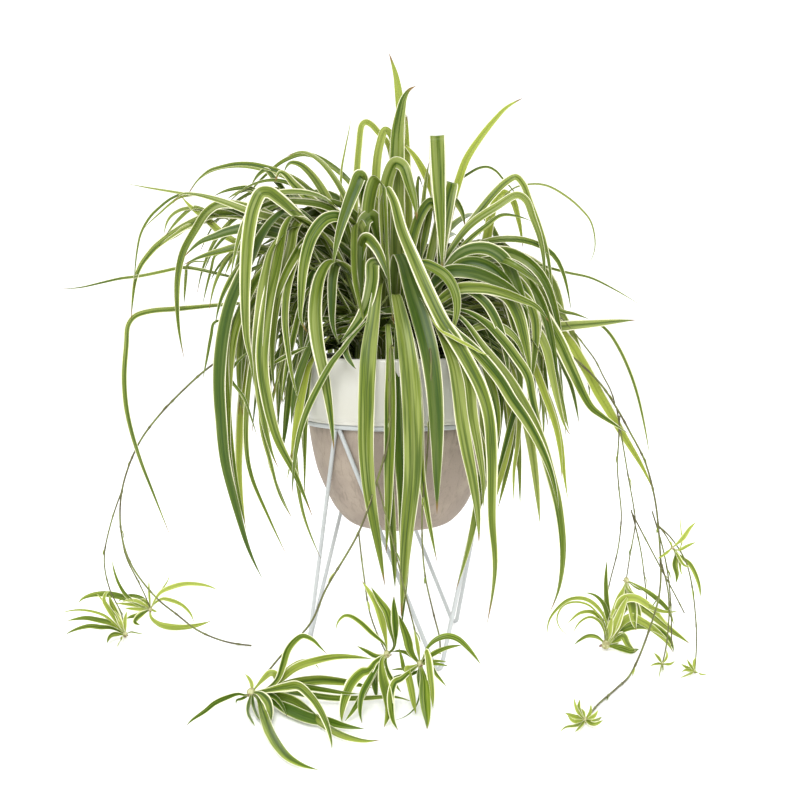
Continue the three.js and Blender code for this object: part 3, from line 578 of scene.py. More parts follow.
def add_stem(strands, points, radius, end_radius, phase, joints=JOINT_SPACING, step=2.0, sides=8, mark=0.0):
    """A stem that thins towards its end, with a small swelling at each of its joints."""
    route, along_mm = smooth_route(points, step)
    along = heading_along(route)
    share = along_mm / along_mm[-1]
    radii = radius + (end_radius - radius) * share
    if joints:
        off = (along_mm + phase * joints + joints / 2) % joints - joints / 2
        radii = radii * (1 + JOINT_SWELLING * np.exp(-((off / JOINT_LENGTH) ** 2)))
    rings = round_rings(route, along, np.cross(along[0], STEM_SLANT), radii, sides)
    shape = rings.shape[:2]
    # The place across stays off a blade's edge, which would make the skin sharp there
    place = triples(shape, even_turns(sides) / math.pi - 0.99, along_mm[:, None], radii[:, None])
    kind = triples(shape, phase, mark, share[:, None])
    strands.add_tube(rings, place, kind)
    return route, along, along_mm


def add_heart(strands, centre, radius, seed):
    """A plantlet's heart: a lumpy knot of leaf bases with short roots breaking out below it."""
    draw = seeded_random(seed)
    rows, sides, pole = 8, 12, 0.02
    lumpiness, slimness = 0.12, 0.85
    tilt = np.linspace(pole, math.pi - pole, rows)[:, None]
    turns = even_turns(sides)
    lumps = 1 + lumpiness * np.sin(3 * turns + 2 * tilt + seed)
    out = radius * slimness * np.sin(tilt) * lumps
    rings = triples(out.shape, out * np.cos(turns), out * np.sin(turns), radius * np.cos(tilt))
    kind = np.broadcast_to([0.5, 0.0, 0.5], rings.shape)
    strands.add_tube(rings + np.asarray(centre, float), rings, kind)
    for _ in range(round(3 + radius)):
        azimuth, reach, drop = draw(0, 360), radius * draw(0.9, 1.35), -radius * draw(0.1, 0.8)
        start = np.add(centre, polar(azimuth, 0.4 * radius, 0.3 * drop))
        middle = np.add(centre, polar(azimuth + 8, 0.8 * reach, 0.8 * drop))
        end = np.add(centre, polar(azimuth + draw(-20, 20), reach, drop))
        thick, thin = 0.16 * radius, 0.09 * radius
        add_stem(strands, [start, middle, end], thick, thin, 0.0, joints=0, step=1.0, sides=6, mark=1.0)


# Long leaves that reach out to the sides in the plane of the pot's axis: width, roll in degrees, tone, then
# the rib as [across, height] seen from the eye point
REACHING_LEAVES = [
  [7, 0, 0.35, [-20, 350], [-62, 450], [-98, 482], [-119, 494], [-134, 499], [-149, 502], [-164, 502],
    [-179, 499], [-189, 496], [-196, 491], [-202, 485], [-208, 476], [-212, 470]],
  [3.5, 0, 0.2, [-150, 456], [-190, 470], [-212, 473], [-227, 468], [-239, 459], [-249, 449], [-258, 433],
    [-262, 415], [-264, 396], [-265, 378]],
  [3.5, 0, 0.3, [-150, 450], [-190, 470], [-218, 469], [-229, 462], [-239, 453], [-249, 444], [-256, 436]],
  [3.5, 0, 0.8, [-150, 450], [-190, 469], [-219, 473], [-234, 475.5], [-249, 478], [-271, 482]],
  [11, 0, 0.4, [-30, 380], [-110, 440], [-150, 450], [-186, 452], [-199, 447], [-214, 440], [-224, 434],
    [-234, 427], [-244, 419], [-251, 411], [-257, 403], [-261, 395], [-264, 385], [-266, 370], [-268, 346]],
  [7, 0, 0.7, [-180, 446], [-206, 441], [-214, 438], [-222, 432], [-230, 427], [-240, 420]],
  [4.5, 0, 0.3, [-100, 370], [-171, 390], [-184, 393], [-199, 396.5], [-213, 398.5], [-223, 397.5],
    [-239, 394], [-259, 390], [-279, 387.5], [-299, 383], [-319, 378.5], [-340, 377]],
  [5, 0, 0.75, [-170, 446], [-196, 456], [-209, 458], [-219, 456], [-227, 451], [-232, 444], [-235, 432]],
  [5, 0, 0.55, [-180, 450], [-204, 459], [-210, 456], [-219, 448], [-227, 439], [-233, 431]],
  [9, 0, 0.95, [-130, 410], [-170, 428], [-181, 436], [-190, 445], [-199, 452], [-209, 460], [-218, 470]],
  [5, 0, 0.1, [-120, 430], [-153, 447], [-169, 449], [-181, 447], [-188, 443]],
  [7, 0, 0.15, [-120, 440], [-151, 450], [-164, 456], [-177, 459], [-189, 457], [-198, 451]],
  [3.5, 0, 0.3, [-150, 420], [-175, 414], [-184, 410], [-188, 396], [-192, 381], [-196, 363]],
  [5, 0, 0.8, [-130, 414], [-158, 416], [-165, 411], [-169, 403], [-174, 391]],
  [3.5, 0, 0.2, [-150, 416], [-168, 413], [-176, 405], [-183, 396], [-188, 386]],
  [4, 0, 0.6, [-190, 404], [-207, 404], [-212, 400], [-213, 390], [-214, 378], [-215, 362]],
  [6, 0, 0.3, [-110, 456], [-150, 478], [-160, 478], [-174, 475], [-185, 470]],
  [5, 0, 0.6, [-120, 456], [-150, 476], [-160, 474], [-172, 467]],
  [7, 0, 0.2, [-100, 456], [-125, 488], [-133, 496], [-140, 492], [-148, 480]],
  [9, 15, 0.4, [-40, 350], [-100, 362], [-150, 363], [-181, 361], [-219, 357.5], [-249, 355], [-264, 350],
    [-271, 341], [-273, 320], [-275, 290], [-273, 260], [-268, 236], [-258, 204], [-247, 176], [-228, 128]],
  [3.5, 0, 0.3, [44, 440], [50, 474], [58, 484], [69, 492], [80, 498], [89, 499], [97, 495], [104, 487],
    [113, 477], [122, 464]],
  [3, 0, 0.75, [80, 430], [112, 476], [132, 482], [149, 480], [171, 467], [184, 455], [191, 446],
    [195, 434], [196, 419], [193, 408], [188, 400]],
  [4.5, 0, 0.5, [120, 345], [180, 344], [196, 343], [203, 340], [211, 332], [221, 316], [231, 294],
    [238, 273], [244, 248], [249, 221], [251, 207]],
  [3.5, 0, 0.5, [60, 380], [100, 404], [130, 404], [151, 398], [168, 393.5], [191, 388.5], [213, 378],
    [240, 362]],
  [5, 0, 0.5, [120, 372], [150, 363], [163, 355], [176, 352], [190, 347]],
  [8, 0, 0.5, [60, 350], [130, 374], [156, 362], [164, 350], [171, 338], [178, 322], [184, 303], [189, 286],
    [191, 266]],
]

# Runners: diameter, then the points of the main stem and of each branch as [x, y, z]
RUNNERS = {
  "runner_left": {
    "diameter": 3,
    "main": [[-82, 3, 280], [-82, 3, 300], [-92, 4, 320], [-124, 6, 334], [-160, 8, 324], [-197, 10, 299],
      [-218, 12, 282], [-259, 14, 240], [-280, 15, 209], [-295, 14, 164], [-295, 10, 122], [-283, 4, 88],
      [-256, 0, 54], [-233, -2, 36], [-212, -2, 20], [-185, 0, 8], [-156, 4, 2]],
    "branches": [
      [[-295, 14, 164], [-308, 18, 128], [-317, 26, 88], [-313, 34, 54], [-301, 36, 27], [-294, 24, 8]],
      [[-295, 10, 122], [-293, 26, 90], [-284, 40, 62], [-277, 45, 44], [-272, 48, 29]],
    ],
  },
  "runner_front": {
    "diameter": 3,
    "main": [[-4, -80, 280], [-4, -80, 300], [-6, -92, 320], [-8, -111, 318], [-9, -115, 280],
      [-10, -115, 233], [-21, -117, 193], [-38, -124, 146], [-68, -140, 96], [-81, -150, 68],
      [-110, -164, 38], [-132, -181, 13]],
    "branches": [
      [[-38, -124, 146], [-33, -138, 110], [-26, -154, 75], [-11, -172, 45]],
      [[-21, -117, 193], [-6, -132, 140], [7, -150, 90], [16, -160, 56], [19, -168, 35]],
    ],
  },
  "runner_front_right": {
    "diameter": 2.4,
    "main": [[22, -77, 280], [22, -77, 300], [25, -89, 320], [30, -108, 317], [30, -112, 280],
      [27, -112, 220], [22, -116, 160], [24, -126, 110], [32, -142, 74], [37, -158, 56], [37, -171, 45]],
    "branches": [],
  },
  "runner_right": {
    "diameter": 3,
    "main": [[82, -9, 280], [82, -9, 300], [92, -9, 320], [128, -9, 335], [165, -10, 319], [207, -10, 283],
      [227, -11, 254], [240, -13, 230], [255, -16, 200], [264, -20, 165], [266, -30, 135], [261, -60, 77],
      [242, -88, 38], [222, -112, 10], [203, -136, 2.6], [178, -180, 2.4], [159, -226, 4]],
    "branches": [
      [[266, -30, 135], [278, -46, 122], [288, -62, 100], [293, -76, 45], [288, -90, 4]],
      [[264, -48, 104], [270, -58, 70], [268, -62, 30], [262, -66, 4]],
      [[227, -11, 254], [231, -12, 230], [235, -13, 205], [239, -14, 180], [244, -16, 150], [245, -18, 136],
        [238, -23, 100], [234, -26, 78]],
      [[230, -11, 246], [230, -6, 218], [229, -4, 195], [231, -2, 170], [234, 0, 140], [231, 2, 105],
        [222, 2, 68], [214, -8, 36], [214, -20, 10]],
      [[150, -15, 350], [168, -15, 348], [181, -15, 334], [193, -15, 319], [204, -15, 304], [212, -15, 288],
        [220, -14, 273], [225, -12, 259]],
      [[266, -30, 135], [271, -43, 127], [275, -53, 117]],
      [[242, -12, 148], [251, -15, 108], [255, -17, 76], [257, -18, 52]],
      [[242, -13, 146], [260, -20, 110], [271, -25, 88], [285, -28, 61], [293, -30, 45]],
      [[262, -20, 148], [271, -38, 104], [274, -48, 68], [274, -54, 18]],
    ],
  },
}

# Leaves towards the front, laid out on an upright plane before the crown, as seen from the eye point:
# width, roll at the root and at the tip in degrees, tone from dark to fresh, then the rib as
# [across, height, distance before the plane]
FRONT_LEAVES = [
  # folded over near the top of the tuft
  [14, 0, 6, 0.3, [-20, 310, -40], [-31, 400, -10], [-30, 466, 0], [-23, 487, 8], [-16, 482, 14],
    [-14, 470, 18], [-12, 420, 28], [-8, 366, 38], [-5, 340, 42]],
  [14, 0, -12, 0.35, [-14, 330, -45], [-15, 440, -30], [-11, 488, -25], [-4, 503, -20], [4, 500, -14],
    [11, 480, -10], [16, 462, -8], [18, 446, -6]],
  [15, 0, 7, 0.45, [-10, 330, -20], [-17, 420, -8], [-18, 466, 0], [-13, 478, 5], [-6, 468, 10],
    [3, 436, 22], [13, 412, 30], [23, 388, 36], [33, 366, 42], [44, 344, 48], [56, 326, 53], [70, 302, 58],
    [82, 278, 62], [90, 250, 64], [93, 210, 66], [93, 150, 66], [96, 96, 66], [88, 42, 64]],
  [16, 0, -15, 0.25, [-20, 340, -20], [-31, 440, -6], [-36, 480, 0], [-39, 490, 3], [-44, 479, 8],
    [-52, 458, 14], [-59, 436, 18], [-64, 414, 21], [-66, 398, 23]],
  [14, 5, -12, 0.3, [-34, 340, -25], [-44, 410, 0], [-58, 448, 12], [-72, 448, 20], [-86, 432, 26],
    [-95, 402, 30], [-98, 366, 32], [-98, 346, 33], [-92, 334, 34]],
  [14, 0, 6, 0.41, [-22, 340, -20], [-36, 430, 0], [-42, 443, 6], [-44, 438, 10], [-45, 416, 16],
    [-44, 386, 22], [-40, 366, 26], [-37, 352, 29], [-32, 334, 32]],
  [16, 0, 0, 0.2, [-10, 340, -20], [-20, 430, -4], [-27, 450, 0], [-34, 446, 4], [-37, 426, 6],
    [-38, 396, 8], [-37, 366, 10]],
  [13, 10, 18, 0.41, [-40, 350, -14], [-38, 418, 6], [-33, 428, 12], [-24, 420, 18], [-16, 404, 22],
    [-8, 380, 25]],
  # broad ones that hang over the front of the pot
  [20, 0, -8, 0.08, [-4, 340, -30], [-5, 396, -6], [-1, 412, 5], [4, 405, 12], [10, 386, 22], [17, 364, 32],
    [23, 344, 40], [29, 320, 48], [34, 290, 54], [37, 256, 57], [38, 226, 58], [38, 190, 58],
    [38, 152, 57]],
  [20, 0, 7, 0.46, [-6, 330, -30], [-8, 366, 0], [-4, 372, 18], [2, 350, 36], [8, 316, 50], [12, 276, 56],
    [14, 226, 60], [13, 186, 62], [10, 156, 63], [7, 126, 63], [5, 96, 64], [2, 48, 66]],
  [17, 0, -6, 0.41, [-14, 340, -20], [-18, 382, 4], [-21, 380, 20], [-26, 346, 36], [-30, 316, 48],
    [-32, 286, 54], [-33, 246, 57], [-33, 216, 58], [-31, 186, 60], [-27, 156, 61], [-22, 128, 62],
    [-14, 80, 64]],
  [12, 0, 5, 0.3, [-10, 340, 6], [-11, 340, 30], [-9, 310, 46], [-9, 246, 54], [-10, 196, 56],
    [-11, 150, 57], [-13, 112, 57]],
  [15, 0, -5, 0.12, [-4, 336, 0], [-2, 336, 28], [0, 290, 44], [1, 246, 50], [3, 206, 52], [5, 166, 53],
    [6, 116, 54], [5, 76, 54], [3, 40, 54]],
  [9, 0, 6, 0.36, [4, 336, 10], [14, 326, 38], [20, 260, 52], [22, 196, 54], [28, 156, 55], [38, 104, 56]],
  [15, 5, 4, 0.56, [6, 392, 0], [16, 380, 16], [28, 362, 30], [40, 340, 42], [49, 321, 49], [56, 301, 54],
    [60, 276, 56], [63, 246, 58], [68, 216, 60], [74, 186, 61], [79, 150, 62], [80, 122, 62]],
  [12, 0, -7, 0.61, [12, 386, 4], [26, 368, 18], [40, 348, 30], [52, 332, 42], [60, 318, 50], [70, 286, 56],
    [74, 250, 58], [80, 216, 60], [84, 186, 61], [84, 156, 62]],
  [10, 0, 12, 0.46, [30, 330, 10], [66, 330, 30], [80, 290, 40], [85, 240, 42], [84, 200, 42],
    [78, 160, 42], [72, 130, 42], [66, 106, 42], [57, 76, 42]],
  [16, 0, 6, 0.36, [-28, 330, -25], [-44, 390, 2], [-58, 405, 14], [-70, 404, 22], [-79, 390, 28],
    [-84, 360, 32], [-82, 326, 36], [-74, 286, 42], [-68, 246, 46], [-65, 216, 48]],
  [12, 0, 12, 0.12, [-28, 340, -30], [-50, 394, 0], [-62, 402, 10], [-66, 390, 14], [-67, 366, 17],
    [-66, 340, 18], [-60, 322, 18]],
  [16, 10, 27, 0.2, [-6, 350, 6], [-20, 402, 14], [-26, 402, 20], [-27, 386, 23], [-31, 366, 26],
    [-38, 350, 28], [-48, 336, 29], [-60, 322, 29]],
  [8, 5, 18, 0.2, [-10, 372, 10], [-20, 358, 22], [-30, 347, 32], [-38, 339, 38], [-48, 328, 44],
    [-57, 316, 47], [-66, 305, 50], [-80, 281, 52], [-92, 256, 53], [-100, 231, 53], [-105, 200, 53],
    [-107, 170, 52]],
  # long ones at the left
  [15, 5, -18, 0.46, [-30, 330, -30], [-62, 420, -8], [-84, 436, 2], [-100, 450, 7], [-118, 466, 12],
    [-130, 474, 17], [-138, 473, 21], [-145, 460, 24], [-150, 436, 28], [-153, 406, 30], [-154, 366, 32],
    [-152, 326, 33], [-148, 306, 34], [-145, 280, 34]],
  [15, 5, -12, 0.41, [-32, 330, -25], [-66, 420, 0], [-96, 448, 10], [-107, 450, 14], [-114, 441, 18],
    [-119, 421, 22], [-124, 396, 26], [-131, 366, 30], [-135, 336, 33], [-137, 306, 36], [-132, 266, 38],
    [-121, 226, 40], [-103, 190, 42], [-86, 148, 43]],
  [12, 0, 12, 0.46, [-36, 340, -20], [-80, 432, 0], [-98, 446, 8], [-105, 437, 12], [-108, 421, 14],
    [-113, 401, 17], [-120, 376, 20], [-125, 346, 22], [-127, 306, 24], [-124, 272, 24]],
  [10, 5, 18, 0.35, [-40, 340, -20], [-76, 400, 6], [-92, 422, 12], [-100, 414, 16], [-107, 396, 20],
    [-112, 376, 22], [-114, 346, 25], [-111, 316, 27], [-106, 286, 28], [-100, 264, 29]],
  [15, 10, -12, 0.1, [-34, 340, -30], [-80, 440, -8], [-106, 458, 2], [-124, 449, 8], [-138, 431, 12],
    [-149, 408, 16], [-160, 386, 18], [-170, 360, 20], [-177, 326, 22], [-180, 286, 23], [-178, 246, 24],
    [-174, 206, 25], [-162, 156, 26], [-150, 116, 26], [-136, 86, 26]],
  [12, 0, 12, 0.45, [-40, 340, -25], [-104, 412, 5], [-135, 396, 14], [-155, 362, 18], [-166, 330, 20],
    [-171, 286, 21], [-172, 246, 22], [-171, 216, 23], [-165, 180, 24], [-157, 146, 24]],
  [15, 10, 15, 0.15, [-34, 360, -20], [-100, 424, -5], [-149, 438, 0], [-170, 435, 2], [-184, 430, 3],
    [-199, 424, 4], [-215, 409, 5]],
  [12, 10, 15, 0.35, [-34, 350, -15], [-110, 408, -5], [-159, 419, 0], [-179, 415, 2], [-199, 409, 3],
    [-216, 401, 4]],
  [10, 10, -30, 0.45, [-30, 350, -50], [-120, 446, -50], [-177, 462, -48], [-191, 455, -46],
    [-204, 436, -44], [-216, 414, -42], [-221, 391, -41], [-222, 366, -40], [-220, 336, -40],
    [-215, 308, -40]],
  [10, 15, 6, 0.51, [-20, 350, -50], [-52, 422, -50], [-72, 468, -48], [-88, 492, -46], [-100, 502, -44],
    [-109, 503, -42], [-115, 494, -40]],
  [7, 15, 0, 0.36, [-16, 350, -70], [-40, 470, -80], [-70, 502, -85], [-94, 512, -88], [-114, 506, -90],
    [-130, 494, -92], [-144, 480, -94], [-156, 464, -96]],
  [9, 20, -12, 0.46, [-20, 350, -60], [-60, 436, -66], [-98, 482, -72], [-130, 496, -76], [-159, 501, -80],
    [-184, 497, -84], [-199, 488, -86], [-210, 474, -88]],
  [12, 15, 18, 0.25, [-26, 350, -40], [-66, 448, -40], [-88, 466, -38], [-105, 482, -36], [-114, 492, -35],
    [-119, 494, -34], [-124, 484, -33]],
  [11, 25, 18, 0.61, [-30, 350, -34], [-110, 440, -20], [-150, 455, -12], [-180, 466, -8], [-205, 472, -6],
    [-217, 472, -5], [-226, 462, -5]],
  [9, 0, 18, 0.95, [-60, 350, -60], [-96, 312, -62], [-98, 271, -60], [-101, 246, -59], [-106, 216, -57],
    [-112, 186, -56]],
  [11, 0, -12, 0.95, [-70, 360, -60], [-130, 356, -50], [-150, 310, -44], [-157, 262, -40],
    [-160, 215, -36], [-159, 180, -34], [-153, 136, -32]],
  [10, 0, 10, 0.35, [-60, 400, -6], [-140, 400, 8], [-162, 380, 14], [-168, 358, 17], [-174, 311, 20],
    [-171, 249, 22], [-164, 191, 24], [-153, 137, 25]],
  [7, 0, 10, 0.3, [-60, 390, -6], [-130, 370, 4], [-148, 300, 10], [-153, 224, 14], [-148, 191, 16],
    [-130, 148, 18], [-112, 110, 19]],
  [7, 0, 10, 0.5, [-60, 380, -6], [-120, 360, 6], [-135, 300, 12], [-137, 240, 15], [-128, 202, 17],
    [-119, 170, 18], [-107, 148, 19]],
  [13, 0, 8, 0.45, [-50, 420, 0], [-104, 440, 12], [-126, 420, 18], [-134, 392, 24], [-138, 366, 28],
    [-142, 311, 32], [-138, 262, 34], [-127, 213, 36], [-120, 197, 36]],
  [5, 0, 0, 0.45, [-70, 340, 0], [-96, 300, 10], [-104, 240, 14], [-102, 190, 16], [-95, 150, 18],
    [-78, 107, 20]],
  [9, 0, 6, 0.15, [-40, 340, -6], [-80, 346, 8], [-92, 316, 14], [-99, 291, 16], [-105, 266, 17],
    [-108, 240, 17]],
  [8, 30, 40, 0.4, [-30, 360, -60], [-80, 452, -64], [-110, 474, -66], [-140, 476, -68], [-166, 462, -70],
    [-186, 440, -72], [-200, 412, -74]],
  [9, 20, 30, 0.2, [-30, 360, -40], [-90, 440, -40], [-126, 450, -40], [-160, 440, -40], [-184, 418, -40],
    [-196, 392, -40]],
  [8, 10, 20, 0.5, [-30, 360, -56], [-80, 430, -58], [-120, 458, -60], [-154, 454, -62], [-178, 434, -64],
    [-194, 404, -66], [-202, 372, -68]],
  [9, 30, 40, 0.3, [-20, 370, -50], [-70, 450, -52], [-96, 476, -54], [-124, 486, -56], [-150, 480, -58],
    [-172, 462, -60]],
  [8, 20, 30, 0.6, [-20, 370, -44], [-60, 440, -46], [-84, 464, -48], [-110, 474, -50], [-134, 468, -52],
    [-152, 452, -54]],
  [7, 10, 30, 0.5, [-20, 370, -64], [-46, 450, -66], [-62, 484, -68], [-80, 506, -70], [-96, 514, -72],
    [-112, 510, -74]],
  [10, 0, 20, 0.25, [-30, 380, -20], [-90, 414, -10], [-130, 418, -4], [-158, 400, 0], [-176, 372, 3],
    [-184, 340, 4]],
  [8, 0, 20, 0.45, [-30, 380, -30], [-100, 426, -24], [-140, 430, -20], [-166, 414, -18], [-182, 388, -16],
    [-190, 356, -15]],
  [8, 0, 20, 0.3, [-60, 380, 4], [-96, 400, 10], [-112, 390, 14], [-122, 360, 16], [-127, 320, 18],
    [-126, 280, 18]],
  [8, 0, 20, 0.2, [-60, 370, 4], [-86, 380, 10], [-96, 366, 12], [-104, 336, 14], [-112, 300, 16],
    [-118, 262, 16]],
  [9, 10, 20, 0.1, [-50, 380, 2], [-74, 400, 6], [-86, 394, 8], [-94, 370, 9], [-98, 336, 10],
    [-96, 304, 10]],
  # upright in the middle, some folded over at the top
  [17, 6, -8, 0.3, [-4, 310, -36], [-2, 430, -34], [-2, 506, -32], [-1, 536, -32], [2, 556, -31],
    [5, 568, -30], [10, 576, -30], [17, 580, -29]],
  [12, 0, 0, 0.92, [6, 330, -50], [5, 470, -52], [3, 540, -53], [0, 570, -53], [-3, 590, -53],
    [-7, 604, -52], [-10, 613, -50]],
  [9, 6, 0, 0.92, [10, 330, -44], [10, 430, -44], [9, 470, -44], [8, 516, -44], [8, 552, -44]],
  [18, 0, 0, 0.3, [42, 380, -38], [41, 420, -34], [40, 460, -30], [39, 500, -24], [38, 528, -13],
    [38, 531, -7], [38, 528, -2], [39, 506, 0], [40, 476, 0], [42, 440, 2], [43, 410, 4], [43, 393, 5]],
  [15, 20, 20, 0.3, [40, 370, -6], [43, 420, -8], [46, 446, -10], [50, 468, -12], [53, 482, -15],
    [52, 484, -20], [48, 476, -24], [44, 450, -28], [42, 420, -30]],
  [9, 6, -8, 1.0, [38, 350, -40], [50, 450, -40], [58, 480, -40], [67, 506, -40], [81, 528, -40],
    [97, 548, -40], [108, 559, -40], [124, 568, -40]],
  [10, 6, 0, 0.8, [-22, 340, -46], [-24, 440, -46], [-23, 490, -46], [-20, 518, -46], [-14, 536, -46],
    [-10, 534, -47], [-7, 528, -48], [-4, 500, -50]],
  [8, 6, 0, 0.9, [-40, 360, -56], [-44, 470, -58], [-42, 496, -60], [-40, 520, -62], [-37, 541, -63],
    [-33, 544, -64], [-27, 541, -65], [-20, 533, -66], [-12, 524, -67], [-8, 510, -68], [-7, 480, -68]],
  [4, 6, 0, 0.9, [-52, 400, -70], [-58, 490, -72], [-54, 516, -74], [-50, 536, -75], [-48, 548, -76]],
  [9, 10, 0, 1.0, [48, 380, -34], [42, 440, -36], [34, 474, -36], [25, 494, -37], [14, 512, -37],
    [2, 524, -38]],
  [11, 6, 0, 0.4, [20, 380, -30], [18, 450, -30], [18, 476, -31], [20, 490, -32], [24, 478, -33]],
  [5, 6, 0, 0.6, [22, 380, -34], [24, 460, -34], [27, 486, -34], [30, 504, -34]],
  [9, 0, 0, 0.7, [-34, 350, -30], [-40, 420, -34], [-34, 462, -36], [-26, 470, -37], [-18, 462, -38]],
  [10, 10, 10, 0.35, [20, 350, -20], [34, 420, -24], [44, 456, -26], [54, 466, -27], [62, 456, -28],
    [66, 440, -28]],
  [11, -10, 10, 0.25, [0, 340, -16], [12, 420, -18], [22, 452, -18], [32, 464, -18], [42, 452, -18],
    [46, 424, -18]],
  # arching at the right
  [12, 4, 4, 0.55, [70, 352, -30], [120, 352, -38], [150, 340, -42], [176, 341, -44], [200, 343, -45],
    [221, 345, -45], [237, 346, -45]],
  [9, 15, -12, 0.36, [20, 350, -20], [50, 414, -24], [81, 456, -28], [96, 474, -30], [108, 485, -32],
    [117, 489, -33], [124, 482, -34], [131, 464, -36], [138, 446, -38], [146, 422, -40], [151, 396, -42],
    [153, 362, -43]],
  [9, 20, 6, 0.46, [22, 360, -10], [66, 436, -14], [100, 461, -18], [118, 471, -20], [127, 466, -22],
    [134, 448, -24], [141, 428, -26], [145, 404, -27], [145, 378, -28]],
  [11, 5, 6, 1.0, [40, 350, -60], [84, 416, -70], [94, 458, -74], [104, 473, -76], [113, 467, -78],
    [120, 444, -80], [124, 418, -82]],
  [6, 20, 24, 0.4, [24, 360, 0], [66, 422, -4], [88, 441, -8], [103, 451, -10], [121, 449, -12],
    [132, 445, -13]],
  [14, 30, 24, 0.1, [16, 350, 6], [44, 392, 20], [71, 394, 26], [101, 383, 30], [118, 371, 32],
    [130, 354, 33]],
  [12, 30, 36, 0.41, [16, 340, 10], [56, 376, 28], [81, 378, 32], [101, 374, 34], [121, 367, 35],
    [138, 359, 35], [150, 344, 35]],
  [12, 15, -12, 0.35, [4, 350, 0], [20, 402, 20], [41, 395, 30], [51, 385, 34], [57, 371, 37],
    [58, 356, 38], [54, 338, 39], [49, 328, 39]],
  [4, 0, 0, 0.95, [30, 352, 44], [41, 336, 54], [52, 330, 56], [61, 325, 57], [71, 320, 57], [81, 314, 57],
    [91, 310, 57]],
  [7, 0, 0, 0.05, [-48, 330, 30], [-54, 318, 44], [-51, 308, 50], [-43, 297, 53]],
  [12, 20, 0, 0.3, [20, 378, 6], [34, 362, 24], [48, 344, 42], [58, 333, 50], [71, 321, 52], [86, 305, 54],
    [101, 286, 56], [113, 266, 57], [127, 246, 58], [141, 221, 59], [153, 190, 60], [160, 156, 60]],
  [12, 15, 6, 0.25, [20, 350, 12], [56, 352, 26], [86, 318, 36], [112, 284, 41], [130, 252, 43],
    [143, 222, 44], [152, 190, 45], [160, 156, 46], [164, 112, 46], [160, 78, 46], [151, 54, 45]],
  [9, 5, 18, 1.0, [40, 350, -20], [106, 344, -10], [132, 306, -8], [146, 271, -7], [156, 242, -6],
    [161, 216, -5], [163, 186, -5]],
  [10, 0, 12, 0.8, [40, 350, 0], [110, 360, 6], [138, 336, 10], [147, 318, 11], [152, 296, 12],
    [159, 264, 13], [166, 240, 14], [172, 230, 14]],
  [13, 0, 0, 1.0, [50, 360, -40], [130, 362, -50], [170, 325, -54], [182, 306, -55], [191, 290, -56],
    [199, 274, -57], [208, 259, -57], [226, 228, -58], [244, 198, -58], [255, 174, -58]],
  [15, 15, 6, 0.41, [30, 350, 10], [82, 378, 18], [108, 370, 22], [119, 352, 24], [125, 331, 25],
    [129, 311, 26], [132, 290, 26]],
  [11, 0, 12, 0.45, [30, 350, 0], [98, 380, 8], [126, 368, 12], [135, 350, 14], [137, 330, 15],
    [135, 306, 15], [132, 280, 15]],
  [14, 20, 6, 0.15, [24, 350, 0], [60, 412, 6], [86, 418, 10], [104, 408, 14], [116, 384, 17],
    [124, 356, 19], [128, 330, 20], [130, 300, 20]],
  [12, 20, 12, 0.2, [20, 350, 4], [62, 402, 10], [84, 402, 15], [104, 388, 19], [118, 366, 22],
    [128, 344, 24]],
  [15, 0, 6, 0.45, [40, 380, 0], [84, 398, 10], [100, 384, 14], [111, 364, 16], [117, 342, 17],
    [124, 318, 18], [131, 294, 19]],
  [10, 0, 0, 0.35, [60, 380, 0], [110, 392, 6], [126, 378, 8], [134, 358, 9], [139, 340, 10],
    [136, 316, 10], [132, 293, 10]],
  [15, 0, 4, 0.3, [50, 380, -10], [104, 402, -4], [126, 388, 0], [138, 362, 2], [151, 341, 4],
    [161, 323, 5], [171, 301, 6], [178, 286, 6], [185, 271, 6], [193, 258, 6], [206, 248, 6],
    [229, 233, 6]],
  [8, 0, 0, 0.7, [80, 370, -20], [134, 352, -14], [145, 328, -12], [150, 310, -12], [154, 294, -12],
    [158, 276, -12], [164, 254, -12], [171, 234, -12]],
  [5, 0, 0, 0.15, [150, 330, -14], [165, 296, -14], [170, 286, -14], [174, 274, -14], [177, 261, -14],
    [180, 243, -14]],
  [11, 0, 0, 0.2, [30, 350, 10], [62, 356, 22], [85, 345, 28], [104, 326, 32], [119, 306, 34],
    [129, 290, 35], [134, 266, 36], [141, 238, 37], [148, 216, 37]],
  [9, 0, 6, 0.6, [70, 360, -16], [126, 352, -10], [142, 322, -8], [154, 300, -7], [162, 268, -6],
    [170, 236, -5]],
  [8, 0, 6, 0.95, [70, 330, -24], [124, 310, -22], [138, 290, -21], [151, 262, -20], [161, 226, -20],
    [166, 186, -20], [169, 166, -20]],
  [11, 0, 0, 0.8, [70, 320, -14], [114, 286, -10], [127, 246, -8], [132, 222, -8], [137, 186, -8],
    [141, 142, -8]],
  [10, 0, 6, 0.4, [40, 330, 20], [62, 282, 40], [71, 254, 46], [82, 222, 50], [89, 196, 52], [92, 156, 54]],
  [10, 0, 6, 0.35, [40, 346, 10], [72, 330, 30], [85, 302, 38], [95, 270, 42], [97, 238, 44], [89, 200, 45],
    [80, 150, 46]],
  [7, 0, 6, 0.3, [60, 340, 4], [92, 326, 16], [108, 312, 20], [118, 300, 22], [121, 278, 23],
    [110, 236, 24], [93, 170, 25]],
  [6, 0, 6, 0.85, [70, 330, 6], [106, 310, 16], [119, 276, 18], [119, 226, 18], [115, 196, 18],
    [115, 162, 18]],
  [9, 0, 6, 0.95, [70, 330, 0], [100, 290, 12], [112, 250, 16], [106, 206, 18], [99, 180, 18],
    [92, 150, 18]],
  [10, 0, 10, 0.15, [30, 360, 14], [64, 376, 22], [84, 366, 26], [98, 344, 28], [106, 318, 29],
    [110, 286, 30]],
  [9, 0, 10, 0.25, [50, 370, -6], [92, 376, 0], [108, 356, 2], [116, 326, 3], [120, 290, 4], [118, 250, 4]],
